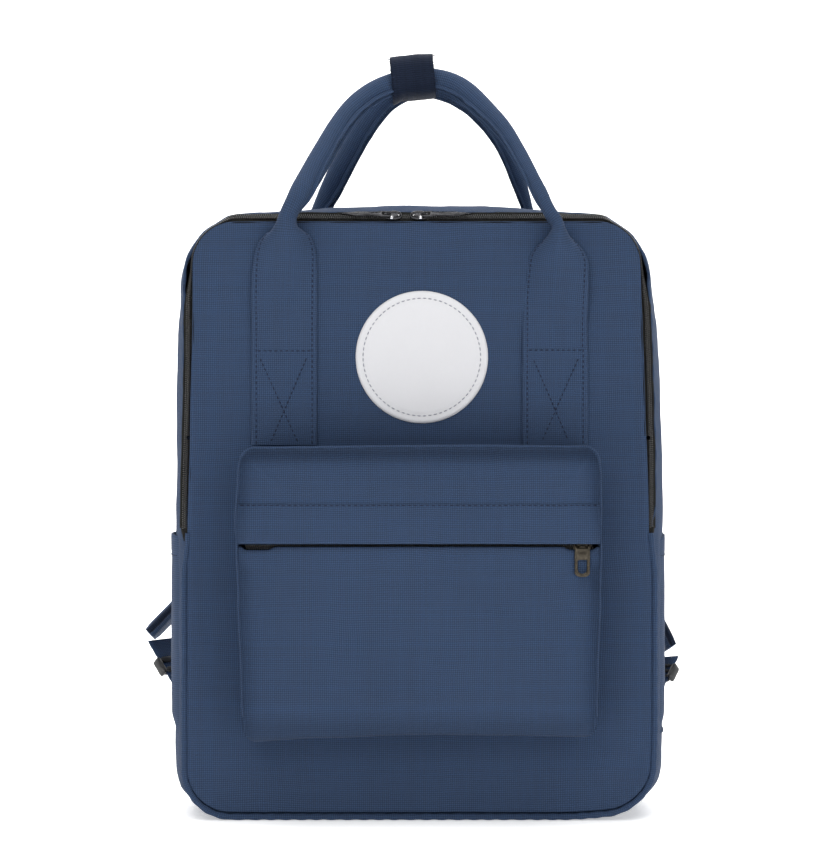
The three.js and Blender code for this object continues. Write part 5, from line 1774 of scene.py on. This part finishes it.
b = Builder()
T0, T1 = -18.3, -0.9        # lower end and shoulder of the tag, below the pivot
out = []
prof = [(4.1, T1), (4.75, T1 - 1.0), (4.8, -6.0), (4.75, -8.6), (4.35, -9.2), (4.8, -9.9), (4.8, -11.0), (4.3, -11.6), (4.8, -12.2), (4.8, -13.2), (4.3, -13.8), (4.75, -14.4), (4.6, -16.2), (3.6, -17.6), (1.8, T0)]
ring_out = [(x, z) for x, z in prof] + [(-x, z) for x, z in reversed(prof)]
n = 88
C = (0.0, -12.0)
low_out = polar(ring_out, n, C)
window = polar([(-2.75, -8.0), (2.75, -8.0), (2.8, -13.2), (2.3, -15.3), (0.8, -16.2), (-0.8, -16.2), (-2.3, -15.3), (-2.8, -13.2)], n, C)
b.add(*loop_slab(low_out, window, 4.0, 5.15, 0.28, pplace))
# upper window: two arms that turn in under the bridge, joined by a bar
for sg in (-1, 1):
    path = [Vector(pplace(sg * 4.0, z, v)) for z, v in ((-2.4, 4.6), (-1.2, 4.55), (0.0, 4.2), (0.9, 3.6), (1.25, 3.1))]
    b.add(*round_tube(path, 0.62, 8, squash=1.0))
path = [Vector(pplace(x, 1.25, 3.1)) for x in (-4.0, -2.0, 0.0, 2.0, 4.0)]
b.add(*round_tube(path, 0.58, 8))
for sg in (-1, 1):                                          # raised border of the tag
    path = [Vector(pplace(sg * 4.15, z, 5.1)) for z in (-1.6, -3.0, -5.0, -7.4)]
    b.add(*round_tube(path, 0.42, 6, squash=0.7))
ob = b.make("pocket_pull_cast", [M['brass']])
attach(ob, "pocket_pull")
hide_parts("pocket_pull")


# ------------------------------------------------------------------ side pockets
SP_Z0, SP_Z1 = 52.0, 177.0


def side_pocket(s, name):
    b = Builder()
    rows, cols = 52, 64
    outer, inner, base_u = [], [], []
    for k in range(rows + 1):
        t = k / rows
        z = lerp(SP_Z0, SP_Z1, t)
        ro, ri = [], []
        for j in range(cols + 1):
            q = 2 * j / cols - 1
            q = math.copysign(abs(q) ** 0.8, q)
            y = 48.0 * q
            full = 1 - abs(q) ** 3.6
            body_x = crown(y)[0] + 0.4
            x = lerp(body_x, 156.9 if s < 0 else 154.8, full)
            x += 0.7 * smooth(0.0, 0.3, t) * smooth(1.0, 0.75, t) * full * (0.6 + fbm(y / 22.0, z / 30.0, 3 + s))
            x -= 3.2 * smooth(0.10, 0.0, t) * full                         # drawn in along the bottom
            x += 0.35 * math.sin(y / 2.3 + 2 * fbm(y / 12.0, 0, s)) * full * (math.exp(-(1 - t) * 26) + 0.8 * math.exp(-t * 20))
            hemline = 0.30 * math.exp(-((z - (SP_Z1 - 13)) / 0.9) ** 2)
            x -= hemline * full
            x += 0.45 * smooth(SP_Z1 - 13, SP_Z1 - 11.5, z) * full
            if t > 0.985:
                x -= 0.25
            zz = z + 1.2 * math.sin(PI * (q + 1) / 2) * smooth(0.2, 0.0, t) - 1.6 * (1 - full) * smooth(0.8, 1.0, t) + (1.0 * q * smooth(0.8, 1.0, t) if s > 0 else -0.6 * q * smooth(0.8, 1.0, t))
            x = min(x, 158.7)
            ro.append(b.vert((s * x, y, zz)))
            ri.append((s * (x - 1.15 - 0.0), y * 0.992, zz))
        outer.append(ro)
        inner.append(ri)
    inner = [[b.vert(p) for p in r] for r in inner]

    def uvq(k, j):
        return (96.0 * j / cols, 125.0 * k / rows)
    for k in range(rows):
        for j in range(cols):
            q = [uvq(k, j), uvq(k, j + 1), uvq(k + 1, j + 1), uvq(k + 1, j)]
            b.face((outer[k][j], outer[k][j + 1], outer[k + 1][j + 1], outer[k + 1][j]), q)
            b.face((inner[k][j], inner[k + 1][j], inner[k + 1][j + 1], inner[k][j + 1]), [q[0], q[3], q[2], q[1]])
        for j, flip in ((0, True), (cols, False)):
            f = (outer[k][j], outer[k + 1][j], inner[k + 1][j], inner[k][j])
            b.face(f if not flip else tuple(reversed(f)), [uvq(k, j)] * 4)
    for k, flip in ((0, False), (rows, True)):
        for j in range(cols):
            f = (outer[k][j], inner[k][j], inner[k][j + 1], outer[k][j + 1])
            b.face(f if not flip else tuple(reversed(f)), [uvq(k, j)] * 4)
    v_, f_, u_ = orient(b.v, b.f, b.uv)
    b.f, b.uv = f_, u_
    ob = b.make(name, M['cloth'])
    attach(ob, "bag")
    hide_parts("side_pocket_" + ("left" if s < 0 else "right"))
    # floor of the pocket
    rings = []
    for z in (52.4, 54.0):
        ring = []
        for j in range(33):
            q = 2 * j / 32 - 1
            full = 1 - abs(q) ** 3.6
            ring.append((s * (lerp(crown(47 * q)[0], 154.4, full)), 46.5 * q, z))
        for j in range(32, -1, -1):
            q = 2 * j / 32 - 1
            ring.append((s * 146.5, 46.5 * q, z))
        rings.append(ring)
    v_, f_, u_ = tube_grid(rings, lambda i, j: (j * 2.0, i * 1.6))
    fl = new_object(name + "_floor", v_, f_, M['cloth_box'], u_)
    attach(fl, "bag")
    # hem stitching
    line, nrm = [], []
    for j in range(61):
        q = 2 * j / 60 - 1
        q *= 0.93
        full = 1 - abs(q) ** 3.6
        y = 48 * q
        line.append((s * (min(lerp(crown(y)[0] + 0.4, 156.9 if s < 0 else 154.8, full) + 0.15, 158.7)), y, SP_Z1 - 13 - 1.6 * (1 - full) * 0.3))
        nrm.append((s, 0, 0))
    st_ = stitches(line, nrm, 3.4, 2.3, 0.32, 0.22).make(name + "_stitching", M['thread'])
    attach(st_, "bag")


side_pocket(-1, "side_pocket_left_cloth")
side_pocket(1, "side_pocket_right_cloth")


# ------------------------------------------------------------------ shoulder straps
SHOULDER_W, SHOULDER_T = 44.0, 8.0


def shoulder_strap(s, dx, dz, name):
    tip = (179.6, 84.5, 105.4) if s < 0 else (166.6, 84.6, 96.0)
    ctrl = [(30, 65, 348), (33, 82, 338), (42, 99, 300), (58, 107, 252), (86, 106, 200), (122, 97, 158), (155, 89, 130) if s < 0 else (151, 89, 124), tip]
    pts, total = catmull([(s * x, y, z) for x, y, z in ctrl], 150)
    w0 = Vector((1, 0, 0))
    w1 = Vector((s * -0.25, 0.97, 0.1))
    if s > 0:
        w1.negate()
    rings, uv_s = [], []
    lines = {-1: [], 1: []}
    binding = {-1: [], 1: []}
    nrow = 23
    for i, c in enumerate(pts):
        t = i / (len(pts) - 1)
        T = (pts[min(i + 1, len(pts) - 1)] - pts[max(i - 1, 0)]).normalized()
        W = w0.lerp(w1, smooth(0.35, 0.95, t))
        W = (W - T * W.dot(T)).normalized()
        N = T.cross(W).normalized()
        width = SHOULDER_W - 4 * smooth(0.5, 1.0, t)
        ends = min(smooth(0.0, 0.03, t), smooth(1.0, 0.985, t))
        cut = 1 - 0.05 * (1 - smooth(1.0, 0.975, t))
        pad = smooth(0.02, 0.09, t)
        top, bot = [], []
        for k in range(nrow + 1):
            q = 2 * k / nrow - 1
            q = math.copysign(abs(q) ** 0.85, q)
            w = q * width / 2 * cut
            e = width / 2 - abs(w)
            core = smooth(2.6, 9.5, e)
            th = lerp(1.9, lerp(2.3, 4.1, pad), core) * lerp(0.86, 1.0, ends)
            th -= 0.45 * math.exp(-((e - 4.6) / 0.7) ** 2)
            th += 0.25 * fbm(w / 16.0, i * 0.09, 3.0 + s) * core
            th -= 0.35 * math.exp(-((t * total - round(t * total / 62.0) * 62.0) / 1.1) ** 2) * core * pad if 0.1 < t < 0.9 else 0.0
            th *= math.sqrt(max(1 - (1 - min(e / 1.2, 1.0)) ** 2, 0.06))
            top.append(c + W * w + N * th)
            bot.append(c + W * w - N * th * 0.98)
        rings.append(top + list(reversed(bot)))
        uv_s.append(total * t)
        for sg in (-1, 1):
            w = sg * (width / 2 - 4.6) * cut
            lines[sg].append((c + W * w + N * (lerp(1.5, lerp(2.3, 3.95, pad), smooth(2.6, 9.5, 4.6)) - 0.33), N))
    n = len(rings[0])
    v_, f_, u_ = tube_grid(rings, lambda i, j: (j * SHOULDER_W * 2 / n, uv_s[min(i, len(uv_s) - 1)]))
    mats = []
    for f in f_:
        j = min(k % n for k in f) if max(f) < len(pts) * n else 99
        mats.append(0)
    # the edges are bound with dark tape
    for k, f in enumerate(f_):
        if max(f) >= len(pts) * n:
            continue
        js = sorted({x % n for x in f})
        a = js[0] if js[-1] - js[0] < n - 1 else n - 1
        col = a if a < nrow + 1 else n - 1 - a
        if col <= 1 or col >= nrow - 2:
            mats[k] = 1
    ob = new_object(name, v_, f_, None, u_, mats, [M['strap'], M['webbing']])
    thr = join([stitches([p for p, _ in lines[sg]], [q for _, q in lines[sg]], 3.4, 2.4, 0.33, 0.12) for sg in (-1, 1)], name + "_stitching", M['thread'])
    for o in (ob, thr):
        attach(o, "bag")
    return ob


ob = shoulder_strap(-1, 0, 0, "shoulder_strap_left_padded")
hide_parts("shoulder_strap_left")
ob = shoulder_strap(1, -9, -12, "shoulder_strap_right_padded")
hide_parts("shoulder_strap_right")

# ------------------------------------------------------------------ lower webbing, adjusters and anchors
for side, s, dx, dz in (("left", -1, 0, 0), ("right", 1, -9, -12)):
    a = Vector((s * 150.5, 64.6, 70))
    e = Vector((s * (171.5 + dx), 84, 102 + dz))
    d = (e - a)
    length = d.length
    d.normalize()
    wv = Vector((0, 1, 0))
    wv = (wv - d * wv.dot(d)).normalized()
    nv = d.cross(wv).normalized()
    turn = math.radians(38) * (1 if nv.x * s > 0 else -1)
    wv, nv = wv * math.cos(turn) - nv * math.sin(turn), nv * math.cos(turn) + wv * math.sin(turn)
    rings = []
    m = 60
    for i in range(m + 1):
        t = i / m
        c = a + d * (length * t)
        wave = 0.18 * math.sin(t * 17)
        ring = []
        for q, h in ((-12.5, 0.0), (-12.1, 0.62), (-6, 0.72), (0, 0.76), (6, 0.72), (12.1, 0.62), (12.5, 0.0), (12.1, -0.62), (6, -0.72), (0, -0.76), (-6, -0.72), (-12.1, -0.62)):
            ring.append(c + wv * (q * (1 - 0.01 * math.sin(t * 40))) + nv * (h + wave * 0.3))
        rings.append(ring)
    v_, f_, u_ = tube_grid(rings, lambda i, j: (j * 4.5, i / m * length))
    web = new_object("lower_webbing_%s_woven" % side, v_, f_, M['strap'], u_)
    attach(web, "bag")
    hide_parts("lower_webbing_" + side)

    mid = length * 0.5

    def aplace(w, dd, h, a=a, wv=wv, nv=nv, d=d, mid=mid):
        return tuple(a + wv * w + nv * h + d * (mid + dd))
    b = Builder()
    for sg in (-1, 1):
        b.add(*slab(polar(rrect(sg * 14.4 - 1.5, sg * 14.4 + 1.5, -6, 6, 1.2), 32, (sg * 14.4, 0)), -3.0, 3.0, 0.7, aplace))
    for d0, d1 in ((-6.0, -3.6), (-1.3, 1.3), (3.6, 6.0)):
        b.add(*slab(polar(rrect(-13.6, 13.6, d0, d1, 0.7), 36, (0, (d0 + d1) / 2)), 1.2, 2.8, 0.5, aplace))
    for d0, d1 in ((-6.0, -2.1), (2.1, 6.0)):
        b.add(*slab(polar(rrect(-13.6, 13.6, d0, d1, 0.9), 36, (0, (d0 + d1) / 2)), -2.8, -1.2, 0.5, aplace))
    for k in range(9):                                   # grip ribs on the outer bar
        w = -10 + 2.5 * k
        b.add(*slab(polar(rrect(w - 0.4, w + 0.4, 3.8, 5.8, 0.3), 16, (w, 4.8)), 2.6, 3.05, 0.15, aplace))
    ob = b.make("strap_adjuster_%s_moulded" % side, [M['plastic']])
    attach(ob, "adjuster_" + side)
    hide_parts("strap_adjuster_" + side)

    wing = [(134, 44), (147, 50), (153, 62), (153, 76), (147, 88), (134, 96)]
    dense = []
    for p, q in zip(wing, wing[1:] + wing[:1]):
        dense += [(lerp(p[0], q[0], i / 10), lerp(p[1], q[1], i / 10)) for i in range(10)]

    def wplace(x, z, h, s=s):
        return (s * x, 60.4 + h + 0.15 * math.sin(x / 2.0 + z / 3.0), z)
    v_, f_, u_ = slab(dense, 0.0, 1.9, 0.6, wplace)
    ob = new_object("anchor_wing_%s_cloth" % side, v_, f_, M['cloth_box'], u_)
    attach(ob, "bag")
    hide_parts("anchor_wing_" + side)
    cen = (143, 70)
    loop_ = [(cen[0] + (x - cen[0]) * 0.72, cen[1] + (z - cen[1]) * 0.84) for x, z in dense]
    line = [(s * x, 62.45, z) for x, z in loop_ + loop_[:1]]
    ob = stitches(line, [(0, 1, 0)] * len(line), 3.0, 2.2, 0.32, 0.15).make("anchor_wing_%s_stitching" % side, M['thread'])
    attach(ob, "bag")

# ------------------------------------------------------------------ back panel, its padding and what is inside
BACK_R = 28.5


def back_y(x, z):
    d = max(outline_distance(x, z, 144.0, 4.6, 374.6, BACK_R), 0.0)
    y = 60.2 - 1.2 * math.exp(-(d / 2.2) ** 2)
    y += 0.35 * fbm(x / 60.0, 6.0, z / 70.0) * smooth(4, 30, d)
    arc = math.atan2(z - 188, x) * 190
    y += 0.2 * math.sin(arc / 3.0) * math.exp(-d / 6.0) * smooth(0, 2, d)
    return y


outl = rounded_outline(144.0, 4.6, 374.6, BACK_R)
b = sheet_from_outline(outl, (0.0, 189.0), back_y, -1.7, 40, 0, 1)
ob = b.make("back_panel_cloth", [M['cloth'], M['lining']])
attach(ob, "bag")
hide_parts("back_panel")
for part, pts in (("low", [(x, 59.0, z) for x, z in under_path(145.4, 3.6, 30, 200)]),
                  ("high", [(x, 59.0, 377.0 - z + 0.0) for x, z in under_path(145.4, 1.6, 30, 177.5)])):
    ob = piping(pts, None, 1.9, "back_piping_" + part)
    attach(ob, "bag")


def quilted_pad(name, hw, z0, z1, r, y0, lift, channels_x, channels_z):
    """Foam behind spacer mesh, pinned along its stitched channels and blown up as cloth."""
    nx, nz = 56, 64
    verts, faces, pins = [], [], []
    ids = {}
    for lay in (0, 1):
        for k in range(nz + 1):
            z = lerp(z0, z1, k / nz)
            kk = max(r - min(z1 - z, z - z0), 0)
            w = hw - (r - math.sqrt(max(r * r - kk * kk, 0)))
            for j in range(nx + 1):
                x = w * (2 * j / nx - 1)
                edge = j in (0, nx) or k in (0, nz)
                if edge and lay:
                    ids[(1, k, j)] = ids[(0, k, j)]
                    continue
                dch = min([abs(x - c) for c in channels_x] + [abs(z - c) for c in channels_z])
                de = outline_distance(x, z, hw, z0, z1, r)
                y = y0 if not lay else y0 + 0.5 + 1.6 * smooth(0, 8, min(de, dch))
                if edge:
                    y = y0 + 0.3
                ids[(lay, k, j)] = len(verts)
                verts.append((x * MM, y * MM, z * MM))
                pins.append(1.0 if (not lay or edge or dch < 1.9) else 0.0)
    for lay in (0, 1):
        for k in range(nz):
            for j in range(nx):
                f = (ids[(lay, k, j)], ids[(lay, k, j + 1)], ids[(lay, k + 1, j + 1)], ids[(lay, k + 1, j)])
                faces.append(f if not lay else tuple(reversed(f)))
    me = bpy.data.meshes.new(name)
    me.from_pydata(verts, [], faces)
    ob = bpy.data.objects.new(name, me)
    scene.collection.objects.link(ob)
    me.update()
    rest = [v.co.copy() for v in me.vertices]
    vg = ob.vertex_groups.new(name="pin")
    for i, p in enumerate(pins):
        if p:
            vg.add([i], p, 'REPLACE')
    mod = ob.modifiers.new("cloth", 'CLOTH')
    st_ = mod.settings
    st_.quality = 6
    st_.mass = 0.25
    st_.tension_stiffness = 12
    st_.compression_stiffness = 10
    st_.shear_stiffness = 8
    st_.bending_stiffness = 0.4
    st_.use_pressure = True
    st_.uniform_pressure_force = 4.0
    st_.vertex_group_mass = "pin"
    st_.effector_weights.gravity = 0
    mod.collision_settings.use_collision = False
    mod.collision_settings.use_self_collision = False
    for fr in range(1, 21):
        scene.frame_set(fr)
    dg = bpy.context.evaluated_depsgraph_get()
    ev = ob.evaluated_get(dg).to_mesh()
    moved = [v.co.copy() for v in ev.vertices]
    ob.evaluated_get(dg).to_mesh_clear()
    ob.modifiers.remove(mod)
    ob.vertex_groups.remove(vg)
    scene.frame_set(1)
    cap = lift * MM
    for v, p, q, pin in zip(me.vertices, rest, moved, pins):
        dlt = q - p
        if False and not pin:
            dlt = Vector((0, 0.4 * cap, 0))
        if dlt.length > cap:
            dlt *= cap / dlt.length
        if pin:
            dlt = Vector((0, 0, 0))
        v.co = p + dlt
    sub = ob.modifiers.new("smooth", 'SUBSURF')
    sub.levels = 1
    sub.render_levels = 1
    dg = bpy.context.evaluated_depsgraph_get()
    new = bpy.data.meshes.new_from_object(ob.evaluated_get(dg))
    ob.modifiers.clear()
    ob.data = new
    new.materials.clear()
    new.materials.append(M['mesh'])
    new.polygons.foreach_set("use_smooth", [True] * len(new.polygons))
    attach(ob, "bag")
    return ob


CHX, CHZ = (-58.0, 58.0), (86.0, 154.0, 222.0)
quilted_pad("back_padding_quilted", 119.0, 20.0, 288.0, 24.0, 60.35, 4.2, CHX, CHZ)
b_ = []
for c in CHX:
    b_.append(stitches([(c, 61.05, lerp(24, 284, i / 60)) for i in range(61)], [(0, 1, 0)] * 61, 3.4, 2.4, 0.33, 0.2))
for c in CHZ:
    b_.append(stitches([(lerp(-115, 115, i / 50), 61.05, c) for i in range(51)], [(0, 1, 0)] * 51, 3.4, 2.4, 0.33, 0.2))
ob = join(b_, "back_padding_stitching", M['thread'])
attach(ob, "bag")

# foam sheet between the lining and the back panel
b = sheet_from_outline(rounded_outline(136, 12, 366, 24), (0.0, 189.0), lambda x, z: 52.8 + 0.2 * fbm(x / 40.0, 1.0, z / 40.0), 4.4, 12)
v_, f_, u_ = orient(b.v, b.f, b.uv)
b.f, b.uv = f_, u_
ob = b.make("back_foam_sheet", [M['mesh'], M['mesh']])
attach(ob, "bag")
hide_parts("back_pad")

# lining: a loose bag of thin cloth just inside the walls
b = Builder()
count, rows = 200, 26
outer, inner = [], []
for k in range(rows + 1):
    y = lerp(-53.5, 51.8, k / rows)
    ro, ri = [], []
    for j in range(count):
        x, z, nx, nz, arc_ = gusset_point(j, count, y, 3.4)
        x, z, nx, nz, arc_ = gusset_point(j, count, y, 3.4 + 3.6 * smooth(245, 335, z))
        loose = 0.9 * (fbm(x / 26.0, y / 30.0, z / 26.0) - 0.35) * smooth(0, 0.15, k / rows)
        loose = min(loose, 0.15)
        sink = crest_drop(x * 1.05, z, y)
        lean, lift = settle(x * 1.04, y, z)
        ro.append(b.vert((x + lean + nx * loose, y, z + lift + nz * loose - sink)))
        ri.append((x + lean + nx * (loose - 0.6), y, z + lift + nz * (loose - 0.6) - sink))
    outer.append(ro)
    inner.append(ri)
inner = [[b.vert(p) for p in r] for r in inner]
for k in range(rows):
    for j in range(count):
        j2 = (j + 1) % count
        b.face((outer[k][j], outer[k][j2], outer[k + 1][j2], outer[k + 1][j]))
        b.face((inner[k][j], inner[k + 1][j], inner[k + 1][j2], inner[k][j2]))
for j in range(count):
    j2 = (j + 1) % count
    b.face((outer[0][j], inner[0][j], inner[0][j2], outer[0][j2]))
for ring, y in ((outer[rows], 51.9), (inner[rows], 51.3)):
    prev = ring
    for f in (0.9, 0.7, 0.45, 0.2):
        cur = []
        for i in ring:
            x, _, z = b.v[i]
            xx, zz = x * f, 190 + (z - 190) * f
            cur.append(b.vert((xx, y - 0.5 * abs(fbm(xx / 30.0, 4.0, zz / 30.0)), zz)))
        for j in range(count):
            j2 = (j + 1) % count
            q = (prev[j], prev[j2], cur[j2], cur[j])
            b.face(q if y > 51.6 else tuple(reversed(q)))
        prev = cur
    c = b.vert((0, y, 190))
    for j in range(count):
        q = (prev[j], prev[(j + 1) % count], c)
        b.face(q if y > 51.6 else tuple(reversed(q)))
v_, f_, u_ = orient(b.v, b.f, b.uv)
b.f, b.uv = f_, u_
ob = b.make("lining_taffeta_bag", M['lining'])
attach(ob, "bag")
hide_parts("lining")

b = Builder()
cols, rows = 90, 40
for lay in (0, 1):
    for k in range(rows + 1):
        z = lerp(10.5, 246, k / rows)
        w = 138 - (22 - math.sqrt(max(22 ** 2 - max(32 - z, 0) ** 2, 0)) if z < 32 else 0)
        for j in range(cols + 1):
            x = w * (2 * j / cols - 1)
            ed = min(w - abs(x), z - 10)
            y = 44.2 - 2.6 * smooth(0, 60, ed) * (0.7 + 0.5 * fbm(x / 50.0, 0, z / 60.0)) + 0.5 * math.sin(x / 3.2) * smooth(226, 244, z) - 0.5 * math.exp(-((z - 228) / 0.9) ** 2)
            b.vert((x, y + (0.9 if lay else 0), z))
n0 = (rows + 1) * (cols + 1)
for k in range(rows):
    for j in range(cols):
        i = k * (cols + 1) + j
        b.face((i, i + 1, i + cols + 2, i + cols + 1))
        b.face((i + n0, i + n0 + cols + 1, i + n0 + cols + 2, i + n0 + 1))
for k in range(rows):
    for j in (0, cols):
        i = k * (cols + 1) + j
        f = (i, i + cols + 1, i + n0 + cols + 1, i + n0)
        b.face(f if j == 0 else tuple(reversed(f)))
for j in range(cols):
    for k in (0, rows):
        i = k * (cols + 1) + j
        f = (i, i + n0, i + n0 + 1, i + 1)
        b.face(f if k == 0 else tuple(reversed(f)))
v_, f_, u_ = orient(b.v, b.f, b.uv)
b.f, b.uv = f_, u_
ob = b.make("inner_sleeve_cloth", M['lining'])
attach(ob, "bag")
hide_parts("inner_sleeve")
line = [(lerp(-134, 134, i / 90), 44.2 - 2.6 * 0.75 - 0.7, 229.5) for i in range(91)]
ob = stitches(line, [(0, -1, 0)] * 91, 3.4, 2.4, 0.32, 0.3).make("inner_sleeve_stitching", M['thread'])
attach(ob, "bag")


# ------------------------------------------------------------------ floor, backdrop and light
def studio_material():
    m, t, bsdf = fresh("studio_paper")
    tc = t.node('ShaderNodeTexCoord')
    n = t.noise(tc.outputs['Object'], 3.0, 3.0)
    t.put(bsdf.inputs['Base Color'], t.hsv((0.93, 0.93, 0.93, 1), t.math('MULTIPLY_ADD', n, 0.01, 0.995)))
    bsdf.inputs['Roughness'].default_value = 0.95
    bsdf.inputs['Specular IOR Level'].default_value = 0.1
    bsdf.inputs['Emission Color'].default_value = (1, 1, 1, 1)
    bsdf.inputs['Emission Strength'].default_value = 0.42
    return m


prof = [(-6.0, 0.0)]
prof += [(1.6 + 1.2 * math.sin(a), 1.2 - 1.2 * math.cos(a)) for a in (PI / 2 * i / 24 for i in range(25))]
prof += [(2.8, 6.0)]
verts, faces = [], []
for x in (-8.0, 8.0):
    verts += [(x, y, z) for y, z in prof]
k = len(prof)
for i in range(k - 1):
    faces.append((i, i + k, i + k + 1, i + 1))
me = bpy.data.meshes.new("studio_floor")
me.from_pydata(verts, [], faces)
me.materials.append(studio_material())
me.polygons.foreach_set("use_smooth", [True] * len(me.polygons))
me.update()
floor = bpy.data.objects.new("studio_floor", me)
scene.collection.objects.link(floor)

world = bpy.data.worlds.new("studio")
scene.world = world
world.use_nodes = True
bg = world.node_tree.nodes["Background"]
bg.inputs[0].default_value = (1.0, 1.0, 1.0, 1)
bg.inputs[1].default_value = 0.26


def area(name, loc, target, size, power, size_y=None):
    li = bpy.data.lights.new(name, 'AREA')
    li.shape = 'RECTANGLE'
    li.size = size
    li.size_y = size_y or size
    li.energy = power
    ob = bpy.data.objects.new(name, li)
    ob.location = loc
    ob.rotation_euler = (Vector(target) - Vector(loc)).to_track_quat('-Z', 'Y').to_euler()
    scene.collection.objects.link(ob)
    return ob


area("key_softbox", (-0.6, -2.3, 1.6), (0, 0, 0.2), 1.5, 20.5)
area("fill_softbox", (1.3, -2.2, 0.8), (0, 0, 0.22), 1.4, 10.0)
area("overhead_softbox", (0.0, 0.0, 2.5), (0, 0.0, 0), 3.4, 72)
area("back_wash", (0.0, 0.9, 2.2), (0, 2.6, 0.9), 2.4, 50)
scene.view_settings.view_transform = 'Standard'
scene.view_settings.look = 'None'
